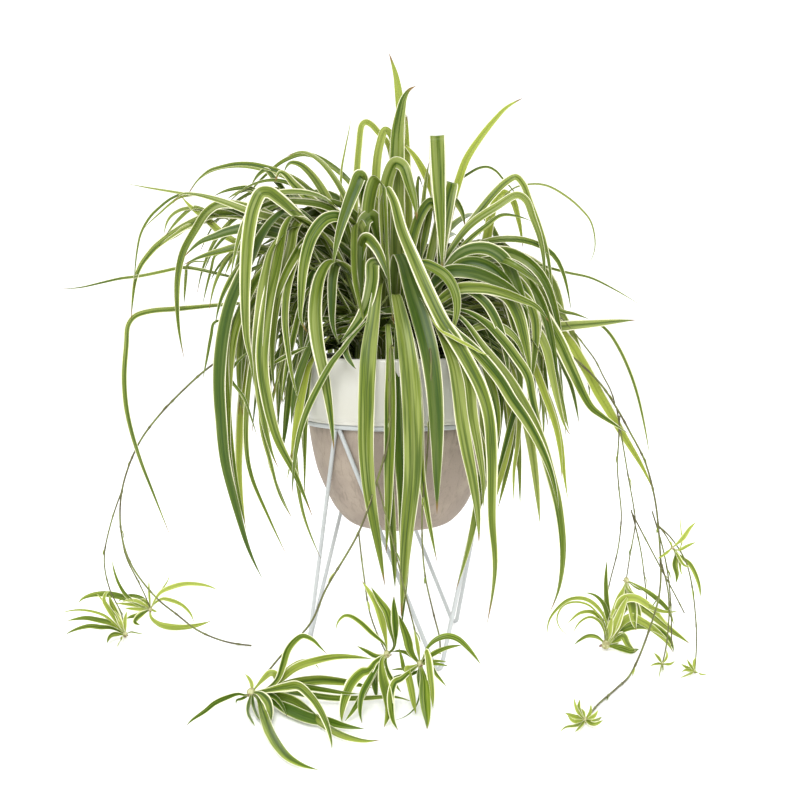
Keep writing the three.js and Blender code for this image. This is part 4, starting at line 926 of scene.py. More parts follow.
  [8, 0, 10, 0.1, [50, 360, -16], [100, 350, -12], [122, 320, -10], [130, 280, -10], [132, 236, -10]],
  [9, 0, 0, 0.3, [40, 330, 10], [64, 332, 20], [76, 338, 24], [88, 341, 26], [104, 338, 27], [118, 326, 28],
    [126, 306, 28]],
  [10, 0, 10, 0.15, [40, 350, 0], [78, 346, 6], [90, 336, 10], [97, 316, 12], [101, 296, 12],
    [101, 262, 12], [98, 208, 12]],
  [11, 0, 10, 0.1, [30, 340, -10], [70, 344, -6], [86, 330, -4], [94, 306, -2], [96, 270, -2]],
  [10, 0, 10, 0.05, [40, 330, -30], [76, 334, -26], [94, 322, -24], [104, 300, -22], [108, 262, -22]],
  [7, 0, 0, 0.5, [100, 300, 8], [108, 250, 8], [112, 222, 8], [108, 196, 8], [99, 158, 8]],
  [8, 0, 0, 0.3, [20, 400, -30], [26, 430, -32], [30, 450, -33], [33, 464, -33]],
  [8, 0, 0, 0.5, [-6, 200, 50], [-7, 150, 52], [-5, 110, 52], [-4, 78, 52]],
  # short ones over the rim at the left
  [8, 0, 0, 0.3, [-90, 340, -10], [-106, 300, -6], [-112, 256, -4], [-114, 236, -4], [-117, 212, -4]],
  [9, 0, 0, 0.15, [-70, 346, 8], [-84, 332, 16], [-91, 316, 18], [-99, 294, 18], [-105, 266, 18],
    [-108, 244, 18]],
  [10, 0, 0, 1.0, [-70, 330, 6], [-90, 300, 14], [-97, 274, 16], [-101, 250, 17], [-105, 228, 17],
    [-108, 208, 17]],
  [4, 0, 0, 0.15, [-120, 330, 10], [-160, 306, 18], [-169, 290, 20], [-155, 268, 22], [-147, 246, 22],
    [-142, 230, 22]],
  [4, 0, 0, 0.6, [-110, 330, 6], [-128, 260, 12], [-131, 236, 13], [-130, 206, 13], [-119, 174, 14],
    [-107, 148, 14]],
  [4, 0, 0, 0.3, [-150, 340, 0], [-184, 344, 4], [-188, 330, 5], [-192, 308, 5], [-196, 288, 5]],
  [5, 20, 20, 0.3, [-134, 296, 16], [-120, 306, 18], [-104, 314, 20], [-90, 320, 22]],
  [9, 0, 10, 0.15, [-60, 360, -4], [-110, 370, 2], [-134, 350, 6], [-142, 316, 8], [-140, 276, 8],
    [-134, 250, 8]],
  [9, 0, 10, 0.3, [-60, 360, -14], [-120, 380, -8], [-148, 360, -4], [-158, 326, -3], [-160, 286, -3],
    [-156, 250, -3]],
  [8, 0, 10, 0.2, [-60, 350, -20], [-130, 350, -16], [-158, 330, -14], [-168, 296, -12], [-168, 256, -12]],
  [8, 0, 10, 0.4, [-60, 340, -10], [-96, 346, -4], [-112, 326, -2], [-118, 296, 0], [-116, 262, 0]],
  [7, 0, 10, 0.1, [-60, 330, -20], [-104, 330, -14], [-122, 310, -12], [-130, 280, -12], [-128, 250, -12]],
]

# Plantlets that rest on the floor or hang just above it: the place and radius of each rosette's heart, then
# its leaves as width, tone, and the rib as [across, height] on the front plane, seen from the eye point
PLANTLETS = {
  "plantlet_left": [{
    "at": [-294, 24, 8], "heart": 4.5,
    "leaves": [
      [4.5, 0.25, [-273, 34], [-287, 38], [-299, 39], [-309, 40], [-319, 38], [-327, 35], [-334, 31]],
      [5, 0.3, [-277, 36], [-289, 43], [-301, 46], [-313, 48], [-323, 47], [-332, 45]],
      [2.5, 0.6, [-280, 38], [-294, 50], [-309, 55], [-323, 56], [-339, 53]],
      [5, 0.4, [-275, 36], [-284, 48], [-291, 58], [-295, 66], [-293, 73], [-288, 75]],
      [7, 0.5, [-276, 36], [-284, 54], [-288, 64], [-290, 71]],
      [3, 0.8, [-274, 36], [-287, 52], [-295, 64], [-303, 73]],
      [4, 0.85, [-272, 36], [-274, 46], [-272, 55]],
      [4, 0.6, [-273, 34], [-281, 40], [-289, 44]],
      [4.5, 0.3, [-277, 34], [-287, 31], [-292, 23]],
      [3, 0.5, [-276, 32], [-279, 26], [-282, 19]],
      [1.5, 0.1, [-268, 34], [-262, 33], [-255, 32]],
      [4.5, 0.95, [-275, 36], [-280, 46], [-285, 56]],
      [3, 0.9, [-272, 34], [-278, 42], [-282, 52]],
    ],
  }],
  "plantlet_left_inner": [{
    "at": [-272, 48, 29], "heart": 4,
    "leaves": [
      [5, 0.85, [-247, 62], [-239, 73], [-227, 79], [-215, 82], [-203, 82], [-191, 80], [-181, 76]],
      [4, 0.7, [-245, 62], [-237, 67], [-229, 66], [-217, 61], [-209, 53], [-205, 44]],
      [6, 0.6, [-248, 49], [-240, 42], [-227, 39], [-213, 39], [-201, 41], [-188, 45]],
      [2.5, 0.7, [-249, 62], [-250, 76], [-250, 86]],
      [2, 0.7, [-246, 64], [-236, 78], [-231, 86], [-229, 93]],
      [3.5, 0.3, [-254, 58], [-264, 63], [-274, 72], [-281, 84], [-285, 96], [-287, 106]],
      [6, 0.3, [-254, 60], [-269, 66], [-281, 70], [-294, 72], [-307, 71], [-317, 67], [-321, 62]],
      [4, 0.9, [-253, 60], [-264, 61], [-274, 62], [-284, 63]],
      [4, 0.8, [-253, 58], [-264, 57], [-275, 58]],
      [4, 0.9, [-254, 61], [-262, 65], [-270, 66], [-277, 64]],
      [3.5, 0.2, [-252, 64], [-260, 69], [-272, 70], [-281, 64]],
      [5, 0.1, [-254, 55], [-261, 51], [-269, 49], [-273, 47]],
      [5.5, 0.15, [-256, 53], [-262, 48], [-264, 44], [-259, 41]],
      [2.5, 0.6, [-246, 60], [-242, 54]],
      [4, 0.8, [-250, 61], [-256, 66], [-261, 64]],
    ],
  }],
  "plantlet_front_left": [{
    "at": [-132, -181, 13], "heart": 6.5,
    "leaves": [
      [5, 0.25, [-147, -28], [-153, -29], [-161, -28], [-171, -31], [-184, -37], [-194, -45], [-207, -54],
        [-213, -60]],
      [3, 0.2, [-154, -31], [-158, -33], [-162, -34], [-163, -38]],
      [5, 0.2, [-150, -32], [-151, -46], [-147, -55], [-144, -60]],
      [7, 0.2, [-149, -30], [-145, -42], [-141, -51], [-139, -54]],
      [10, 0.45, [-141, -32], [-137, -44], [-131, -62], [-123, -77], [-111, -91], [-97, -99], [-80, -104]],
      [8, 0.3, [-140, -27], [-132, -35], [-129, -46], [-129, -58]],
      [6.5, 0.85, [-142, -20], [-136, -13], [-129, -7], [-124, -8], [-121, -22], [-120, -34]],
      [7, 0.3, [-134, -24], [-122, -14], [-116, 1], [-111, 16], [-103, 26], [-96, 30], [-86, 26], [-79, 19],
        [-72, 12]],
      [7.5, 0.6, [-137, -28], [-119, -14], [-104, -2], [-84, 5], [-64, 9], [-44, 9], [-26, 7]],
      [5, 0.8, [-130, -22], [-119, -12], [-109, -2], [-99, 4], [-91, 5], [-85, 3], [-80, -3]],
      [9, 0.45, [-132, -24], [-119, -20], [-99, -16], [-79, -14], [-64, -15], [-49, -17], [-27, -22]],
      [7, 0.2, [-132, -26], [-119, -24], [-99, -21], [-74, -24], [-54, -27], [-39, -28]],
      [6, 0.2, [-130, -28], [-114, -26], [-89, -29], [-64, -32], [-34, -32], [-4, -31], [14, -36]],
      [12, 0.5, [-134, -27], [-124, -29], [-109, -34], [-94, -44], [-79, -56], [-64, -66], [-49, -72],
        [-34, -75], [-19, -74]],
      [10, 0.1, [-134, -30], [-124, -36], [-109, -44], [-89, -52], [-69, -56], [-54, -60], [-34, -63]],
      [9, 0.35, [-130, -24], [-114, -21], [-101, -20], [-89, -30], [-79, -44], [-72, -59], [-68, -74],
        [-67, -83]],
      [5, 0.15, [-126, -30], [-118, -38], [-112, -50]],
      [4, 0.9, [-147, -20], [-149, -14], [-154, -8]],
    ],
  }],
  "plantlet_front": [{
    "at": [-11, -172, 45], "heart": 5,
    "leaves": [
      [5, 0.35, [-14, 21], [-27, 33], [-39, 44], [-49, 50], [-55, 50], [-61, 44], [-63, 36]],
      [7, 0.9, [-9, 11], [-13, 26], [-17, 46], [-23, 63], [-31, 76], [-37, 85]],
      [8, 0.45, [-5, 20], [-8, 40], [-12, 54], [-20, 66], [-28, 79]],
      [9, 0.25, [-5, 18], [-4, 31], [-4, 46], [-5, 61], [-5, 70]],
      [5, 0.3, [-23, 10], [-33, 15], [-42, 20]],
      [7.5, 0.15, [-21, 6], [-25, -6], [-24, -20], [-22, -33]],
      [5.5, 0.4, [-14, 6], [-19, -4], [-23, -20]],
      [9, 0.5, [-17, 6], [-16, -12], [-12, -28], [-10, -42], [-15, -61]],
      [10, 0.35, [-24, 4], [-30, -4], [-37, -6], [-47, -16], [-54, -32], [-57, -46], [-57, -56]],
      [6, 0.15, [-24, -4], [-30, -14], [-37, -28], [-39, -44], [-37, -57]],
      [6, 0.2, [-24, -6], [-29, -14], [-37, -30], [-47, -46], [-54, -55]],
      [5, 0.3, [-12, -4], [-4, -18], [2, -26]],
    ],
  }],
  "plantlet_front_right": [{
    "at": [19, -168, 35], "heart": 5,
    "leaves": [
      [10, 0.4, [24, 3], [25, -14], [26, -34], [28, -54], [28, -63]],
      [8, 0.7, [24, 8], [27, 15], [29, 10], [31, -6], [33, -24], [34, -42]],
      [5.5, 0.4, [24, 8], [29, 19], [38, 27], [49, 30], [59, 27], [69, 18], [78, 7], [82, 1]],
      [5, 0.45, [24, 4], [34, 12], [47, 18], [63, 21]],
      [3, 0.5, [26, 4], [36, 5], [48, 4]],
      [3, 0.4, [26, 2], [38, 2], [49, 0]],
      [4, 0.3, [26, 2], [32, 0], [37, -8], [42, -14], [47, -20]],
      [4, 0.4, [18, 6], [10, 12], [0, 15], [-7, 14]],
      [6.5, 0.75, [12, -1], [8, -2], [9, -8], [12, -22], [15, -38], [17, -48]],
      [3.5, 0.1, [20, -4], [9, -9], [-1, -10], [-8, -12]],
      [3, 0.3, [19, -2], [10, -3], [0, -3], [-8, -4]],
      [4, 0.85, [21, 6], [18, 24], [15, 36]],
      [4, 0.4, [10, -6], [5, -2], [3, 6], [0, 18]],
      [1.5, 0.1, [20, -6], [21, -24], [17, -40], [7, -50], [-3, -54]],
      [5, 0.2, [22, 2], [20, -10], [21, -20], [24, -30]],
      [8, 0.45, [12, 14], [8, 28], [3, 42], [-1, 52]],
      [7, 0.3, [8, -8], [2, -13], [-4, -16], [-8, -28], [-8, -42], [-6, -54], [-1, -64]],
    ],
  }],
  "plantlets_right": [
    {
      "at": [214, -20, 10], "heart": 7,
      "leaves": [
        [5, 0.35, [209, 24], [211, 40], [208, 61], [207, 76], [207, 91], [208, 106]],
        [4, 0.4, [209, 28], [207, 44], [201, 56], [191, 65], [181, 68], [169, 66], [157, 56], [150, 45],
          [148, 30]],
        [2, 0.6, [208, 28], [206, 40], [191, 60], [176, 64], [164, 60], [158, 48], [161, 38], [171, 29]],
        [4.5, 0.3, [210, 28], [210, 40], [205, 61], [197, 70], [188, 73], [185, 72]],
        [4, 0.4, [209, 28], [201, 48], [193, 54], [181, 53], [171, 45], [168, 42]],
        [3, 0.5, [207, 28], [201, 44], [191, 49], [181, 44], [174, 33]],
        [4, 0.3, [206, 24], [198, 29], [189, 30], [181, 26], [175, 21]],
        [8, 0.25, [211, 22], [223, 36], [237, 41], [251, 40], [263, 34], [271, 26], [275, 14]],
        [10, 0.45, [213, 28], [220, 50], [228, 62], [236, 63], [248, 56], [260, 46], [272, 36], [282, 29],
          [291, 22]],
        [8, 0.75, [212, 26], [216, 44], [224, 66], [236, 68], [250, 60], [262, 48], [270, 38]],
        [7, 0.6, [213, 26], [222, 42], [232, 49], [244, 44], [258, 34], [268, 24], [274, 14]],
        [6, 0.2, [213, 20], [222, 18], [232, 15], [240, 17]],
        [8, 0.45, [216, 26], [224, 30], [230, 20], [237, 14]],
        [8, 0.95, [208, 22], [213, 44], [219, 64], [223, 78]],
        [8, 0.9, [211, 22], [217, 42], [224, 60], [229, 70]],
        [7, 0.95, [214, 20], [221, 36], [229, 48], [236, 54]],
        [6, 0.8, [206, 22], [210, 34], [213, 50]],
      ],
    },
    {
      "at": [234, -26, 78], "heart": 4.5,
      "leaves": [
        [5, 0.3, [228, 82], [241, 79], [256, 69], [269, 56], [275, 41]],
        [5, 0.4, [228, 78], [241, 66], [256, 57], [269, 54], [279, 55]],
        [8, 0.6, [230, 76], [246, 59], [261, 46], [269, 34]],
        [7, 0.95, [227, 78], [222, 58], [217, 38]],
        [9, 0.45, [228, 76], [233, 61], [235, 44], [237, 36]],
        [2, 0.7, [230, 82], [240, 77], [251, 76]],
        [5, 0.9, [225, 78], [219, 66], [211, 46]],
        [8, 0.5, [232, 70], [239, 54], [241, 41]],
      ],
    },
  ],
  "plantlet_right_hanging": [{
    "at": [275, -53, 117], "heart": 3,
    "leaves": [
      [4.5, 0.85, [277, 116], [284, 128], [291, 138], [297, 144]],
      [5.5, 0.35, [277, 112], [276, 101], [278, 91], [277, 83]],
      [4.5, 0.45, [279, 112], [285, 107], [291, 102], [298, 88], [301, 76], [301, 68]],
      [4, 0.5, [278, 112], [285, 101], [291, 99]],
      [3, 0.6, [276, 116], [266, 112], [258, 107]],
      [3, 0.6, [279, 116], [290, 121], [297, 124]],
      [3, 0.7, [277, 115], [273, 120], [271, 125]],
      [3, 0.5, [279, 112], [282, 94], [284, 90]],
      [1.5, 0.9, [279, 116], [283, 124], [282, 136], [281, 151]],
    ],
  }],
  "plantlet_right_low": [{
    "at": [262, -66, 4], "heart": 2.5,
    "leaves": [
      [3.5, 0.5, [263, 5], [259, 9], [255, 13]], [3, 0.7, [264, 4], [265, 1], [265, -4]], [2.5, 0.6,
        [262, 4], [256, 2], [251, 0]],
      [2.5, 0.6, [265, 3], [271, 2], [276, 5]], [2.5, 0.8, [266, 4], [268, 10], [267, 16]], [2.5, 0.6,
        [264, 3], [262, -4], [260, -12]],
    ],
  }],
  "plantlet_right_outer": [{
    "at": [288, -90, 4], "heart": 2.5,
    "leaves": [
      [3.5, 0.5, [293, -3], [287, -1], [282, 2]], [3, 0.6, [293, -4], [286, -4], [283, -6]], [2.5, 0.6,
        [294, -4], [288, -9], [281, -12]],
      [2.5, 0.7, [295, -4], [301, -8], [309, -9]], [2.5, 0.6, [294, -2], [295, 4], [297, 9]], [3, 0.5,
        [294, -3], [290, 3], [288, 7]],
    ],
  }],
  "plantlet_right_front": [{
    "at": [159, -226, 5], "heart": 4,
    "leaves": [
      [5, 0.6, [185, -55], [176, -51], [166, -47]], [3.5, 0.9, [185, -55], [178, -44], [175, -32]],
      [4.5, 0.5, [186, -55], [180, -44], [181, -33]], [3.5, 0.6, [188, -55], [187, -49], [181, -41]],
      [3.5, 0.6, [190, -54], [191, -47], [192, -38]], [5.5, 0.4, [188, -57], [194, -56], [203, -51]],
      [4.5, 0.5, [188, -58], [196, -58], [204, -54]],
      [4, 0.5, [182, -58], [174, -60], [167, -61], [161, -66]],
      [4, 0.7, [184, -56], [175, -55], [169, -50]], [4, 0.8, [186, -54], [184, -46], [176, -42]],
      [4, 0.8, [188, -55], [195, -50], [199, -44]], [4, 0.4, [185, -58], [180, -62], [176, -66]],
    ],
  }],
}


def fill_leaves():
    """The seeded leaves that fill the tuft: upright ones, then arches nested inside each other."""
    draw = seeded_random(SEED)
    leaves = []
    for i in range(LEAF_COUNT):
        upright = i < UPRIGHT_COUNT
        level = 1 if upright else 1 - (i - UPRIGHT_COUNT) / (LEAF_COUNT - UPRIGHT_COUNT)
        azimuth = turn_aside(i * GOLDEN_ANGLE + draw(-6, 6))
        width = draw(7, 11) if upright else draw(9, 16)
        twist = draw(-35, 35)
        drift = draw(-8, 8)
        root = [draw(6, 14) if upright else 38 - 22 * level, ROOT_HEIGHT]
        if upright:
            apex = [draw(30, 72), draw(470, 545)]
            tip = [apex[0] + draw(14, 60), apex[1] - draw(0, 60)]
        else:
            apex = [90 + 62 * level + draw(-5, 9), 366 + 122 * level + draw(-10, 10)]
            tip = [132 + 104 * level + draw(-6, 18), apex[1] - draw(70, 250)]
        rib = arch_rib(azimuth, drift, root, apex, tip)
        while meets_rim(rib):
            tip = [tip[0] + 2, tip[1] + RIM_LIFT]
            rib = arch_rib(azimuth, drift, root, apex, tip)
        if upright:
            hidden = apex[1] < (RIGHT_HEIGHT if faces_right(azimuth) else UPRIGHT_HEIGHT)
        else:
            hidden = aside(rib) < (RIGHT_REACH if faces_right(azimuth) else SIDE_REACH)
        if hidden and not faces_front(azimuth, FRONT_SPREAD if upright else SIDE_SPREAD):
            leaves.append([width, twist, *rib])
    return [leaf for i, leaf in enumerate(leaves) if i not in OPEN_SPOTS]


def faces_right(azimuth):
    """Whether an azimuth is to the right, where the tuft is lower."""
    return math.sin(math.radians(azimuth)) > RIGHT_FROM


def aside(rib):
    """How far a rib's end is to either side of the pot's axis."""
    return abs(rib[-1][1] * math.sin(math.radians(rib[-1][0])))


def faces_front(azimuth, spread):
    """Whether an azimuth is within some degrees of the front, where the listed leaves lie."""
    return abs((azimuth + 180) % 360 - 180) < spread


def arch_rib(azimuth, drift, root, apex, tip):
    """The rib of an arching leaf: up out of the root, over the apex, and down towards the tip."""
    rib = []
    for turn in np.radians(RISE_STEPS).tolist():
        rib.append([root[0] + (apex[0] - root[0]) * (1 - math.cos(turn)),
                    root[1] + (apex[1] - root[1]) * math.sin(turn)])
    for turn in np.radians(FALL_STEPS).tolist():
        rib.append([apex[0] + (tip[0] - apex[0]) * math.sin(turn),
                    apex[1] - (apex[1] - tip[1]) * (1 - math.cos(turn))])
    return [[azimuth + drift * i / (len(rib) - 1), *spot] for i, spot in enumerate(rib)]


def meets_rim(rib):
    """Whether a rib comes out over the rim too low to clear it."""
    outer = RIM_CLEARANCE["outer"]
    for (_, r0, z0), (_, r1, z1) in zip(rib, rib[1:]):
        if r0 <= outer < r1:
            return z0 + (z1 - z0) * (outer - r0) / (r1 - r0) < RIM_CLEARANCE["height"]
    return False


def crown_leaves():
    """Young leaves and leaf bases packed in the crown, which close the middle of the tuft."""
    draw = seeded_random(SEED + 1)
    leaves = []
    for i in range(CROWN_LEAVES):
        azimuth = i * GOLDEN_ANGLE
        start = 40 * math.sqrt((i + 0.5) / CROWN_LEAVES)
        reach = start + draw(12, 55)
        height = draw(352, 430) - 0.6 * start
        leaf = [
            draw(9, 15), draw(-40, 40),
            [azimuth, start, 286],
            [azimuth, start + 4, 318],
            [azimuth + draw(-8, 8), 0.5 * (start + reach), height - 14],
            [azimuth + draw(-12, 12), reach, height],
        ]
        if reach < 40 or not faces_front(azimuth, FRONT_SPREAD):
            leaves.append(leaf)
    return leaves


def back_leaves():
    """More seeded leaves low in the tuft, all round, where the plant is at its densest."""
    draw = seeded_random(SEED + 6)
    leaves = []
    for i in range(INNER_LEAVES):
        azimuth = turn_aside(i * GOLDEN_ANGLE + draw(-20, 20))
        reach, peak = draw(58, 150), draw(350, 470)
        if faces_right(azimuth):
            peak = min(peak, RIGHT_HEIGHT - 10)
        drop = draw(10, 60) if reach < RIM_CLEARANCE["outer"] else draw(40, 190)
        rib = [
            [azimuth, draw(16, 36), 296],
            [azimuth + draw(-8, 8), 0.45 * reach, peak - 18],
            [azimuth + draw(-14, 14), 0.75 * reach, peak],
            [azimuth + draw(-20, 20), reach, peak - 0.3 * drop],
            [azimuth + draw(-24, 24), reach + draw(6, 26), peak - drop],
        ]
        while meets_rim(rib):
            rib[-1][2] += RIM_LIFT
            rib[-2][2] += 5
        width, twist = draw(9, 15), draw(-60, 60)
        front = faces_front(azimuth, FRONT_SPREAD)
        clear = not faces_front(azimuth, 90) or not front and aside(rib) > FRONT_REACH + 8
        if clear or rib[-1][1] < (FRONT_DEPTH if front else FRONT_REACH):
            leaves.append([width, twist, *rib])
    return leaves


def side_leaves():
    """Seeded leaves that arch out and hang at the two sides, behind the listed ones."""
    draw = seeded_random(SEED + 9)
    leaves = []
    for i in range(SIDE_LEAVES):
        side = -1 if i % 9 < 5 else 1
        azimuth = turn_aside(side * draw(58, 128))
        level = i / SIDE_LEAVES
        rise = 116 if side < 0 else 52
        reach, peak = 112 + 66 * level + draw(-6, 6), 372 + rise * level + draw(-16, 10)
        drop = draw(40, 210) if i % 3 else draw(15, 50)
        rib = [
            [azimuth, 20, 296],
            [azimuth, 0.4 * reach, peak - 14],
            [azimuth + draw(-4, 4), 0.68 * reach, peak],
            [azimuth + draw(-8, 8), 0.92 * reach, peak - 0.22 * drop],
            [azimuth + draw(-12, 12), reach + 0.06 * drop, peak - drop],
        ]
        leaves.append([draw(8, 14), side * draw(20, 60), *rib])
    return leaves


def rim_leaves():
    """Short low leaves and leaf bases just inside the rim; behind, some bend out over it."""
    draw = seeded_random(SEED + 8)
    leaves = []
    for i in range(RIM_LEAVES):
        azimuth = turn_aside(i * GOLDEN_ANGLE)
        if faces_front(azimuth, RIM_SPREAD):
            end, peak = draw(78, 94), draw(326, 362)
        else:
            end, peak = (draw(92, 122), draw(340, 390)) if i % 3 else (draw(88, 104), draw(316, 340))
        leaves.append([
            draw(9, 15), draw(-60, 60),
            [azimuth, draw(28, 50), 292],
            [azimuth + draw(-10, 10), 0.6 * end, peak - 8],
            [azimuth + draw(-14, 14), 0.82 * end, peak],
            [azimuth + draw(-18, 18), end, peak - draw(2, 12)],
        ])
    return leaves


def spin(profile, steps):
    """Points and faces of an outline of [radius, height] turned about the pot's axis."""
    points, faces, rings = [], [], []
    for radius, height in profile:
        count = 1 if radius < 1e-6 else steps
        rings.append((len(points), count))
        points += [polar(360 * k / steps, radius, height) for k in range(count)]
    for (near, near_count), (far, far_count) in zip(rings, rings[1:]):
        for k in range(steps):
            after = (k + 1) % steps
            corners = [near + k % near_count, near + after % near_count]
            corners += [far + after % far_count, far + k % far_count]
            face = list(dict.fromkeys(corners))
            if len(face) > 2:
                faces.append(face)
    return points, faces


def arc(centre, radius, start, end, steps=5):
    """Points of an arc in an outline, from one angle to another in degrees."""
    turns = [math.radians(start + (end - start) * k / steps) for k in range(steps + 1)]
    return [[centre[0] + radius * math.cos(t), centre[1] + radius * math.sin(t)] for t in turns]


def solid_mesh(name, points, faces):
    """A smooth mesh in metres from points in millimetres off the pot's axis."""
    mesh = bpy.data.meshes.new(name)
    mesh.from_pydata((np.asarray(points, float) * MM + AXIS).tolist(), [], faces)
    mesh.validate()
    mesh.shade_smooth()
    return mesh


def colour_property(name, description, hex_colour):
    """A colour property with its default given in sRGB hex."""
    return FloatVectorProperty(name=name, description=description, default=linear(hex_colour)[:3],
                               subtype="COLOR", min=0, max=1)


class PotSettings(bpy.types.PropertyGroup):
    """Finish of the pot and the mix in it."""

    glaze: colour_property("Glaze", "White glaze of the band and the inside", "c6c5bd")
    clay: colour_property("Clay", "Bare clay of the body", "93867a")
    clay_dark: colour_property("Clay Streaks", "Streaks and grit in the clay", "71655a")
    clay_light: colour_property("Clay Blotches", "Paler blotches on the clay", "a39687")
    groove: FloatProperty(name="Groove", description="Depth of the groove at the foot of the band",
                          default=0.5 * MM, min=0, max=1 * MM, unit="LENGTH")
    crumbs: IntProperty(name="Crumbs", description="Loose crumbs on the potting mix",
                        default=260, min=0, max=900)


class StandSettings(bpy.types.PropertyGroup):
    """Wire of the stand."""

    ring_wire: FloatProperty(name="Ring Wire", description="Diameter of the ring's wire",
                             default=RING_WIRE * MM, min=2 * MM, max=8 * MM, unit="LENGTH")
    leg_wire: FloatProperty(name="Leg Wire", description="Diameter of the legs' wire",
                            default=LEG_WIRE * MM, min=2 * MM, max=8 * MM, unit="LENGTH")
    coat: colour_property("Coat", "Powder coat on the wire", "b2b6b6")


class LeafSettings(bpy.types.PropertyGroup):
    """Shape and colours of the grown leaves."""

    fold: FloatProperty(name="Fold", description="Depth of the fold as a share of half the blade's width",
                        default=FOLD, min=0, max=0.8, subtype="FACTOR")
    deep: colour_property("Deep Green", "Dark veins", "36520a")
    green: colour_property("Green", "Blade between the veins", "6a7c1e")
    old: colour_property("Old Green", "Older leaves with a blue cast", "3e5822")
    light: colour_property("Light Green", "Lighter stripes", "a8b264")
    young: colour_property("Young Green", "Young leaves", "aab648")
    margin: colour_property("Margin", "Cream edges", "f5f1d6")
    under: colour_property("Underside", "Paler lower face", "97a64a")
    root: colour_property("Base", "Pale base of the leaf", "bcc67a")
    dry: colour_property("Dried Tip", "Brown tips", "8a6a3c")
    glow: colour_property("Glow", "Light that comes through the blade", "9cb424")


class PlantletSettings(bpy.types.PropertyGroup):
    """Colours of the plantlets and their runners."""

    deep: colour_property("Deep Green", "Dark veins", "3e5a0c")
    green: colour_property("Green", "Blade between the veins", "6a841a")
    old: colour_property("Old Green", "Older leaves", "4a6a1e")
    light: colour_property("Light Green", "Fresh stripes", "b2be56")
    young: colour_property("Young Green", "Young leaves", "bcc860")
    margin: colour_property("Margin", "Cream edges", "fdfbdc")
    under: colour_property("Underside", "Paler lower face", "9aab4a")
    root: colour_property("Base", "Pale base of the leaf", "cfd69a")
    dry: colour_property("Dried Tip", "Brown tips", "8f7040")
    glow: colour_property("Glow", "Light that comes through the blade", "b4c850")
    stem_dark: colour_property("Stem Brown", "Weathered runner skin", "4a4428")
    stem_green: colour_property("Stem Green", "Fresh runner skin", "66702e")


class StageSettings(bpy.types.PropertyGroup):
    """Floor, lights and sky."""

    paper: colour_property("Paper", "Floor", "fbfbfb")
    sky: FloatProperty(name="Sky", description="Strength of the even white light", default=1.32, min=0, max=4)
    key: FloatProperty(name="Key", description="Power of the soft light high at the front",
                       default=39.0, min=0, max=400, unit="POWER")
    back: FloatProperty(name="Back", description="Power of the soft light behind",
                        default=14.0, min=0, max=400, unit="POWER")


SETTINGS = {
    "plant_pot": PotSettings,
    "plant_stand": StandSettings,
    "plant_leaves": LeafSettings,
    "plant_plantlets": PlantletSettings,
    "plant_stage": StageSettings,
}


def leaf_colours(settings):
    """The leaf colours of a group of settings, ready for a material."""
    return {key: (*getattr(settings, key), 1.0) for key in LEAF_COLOURS}


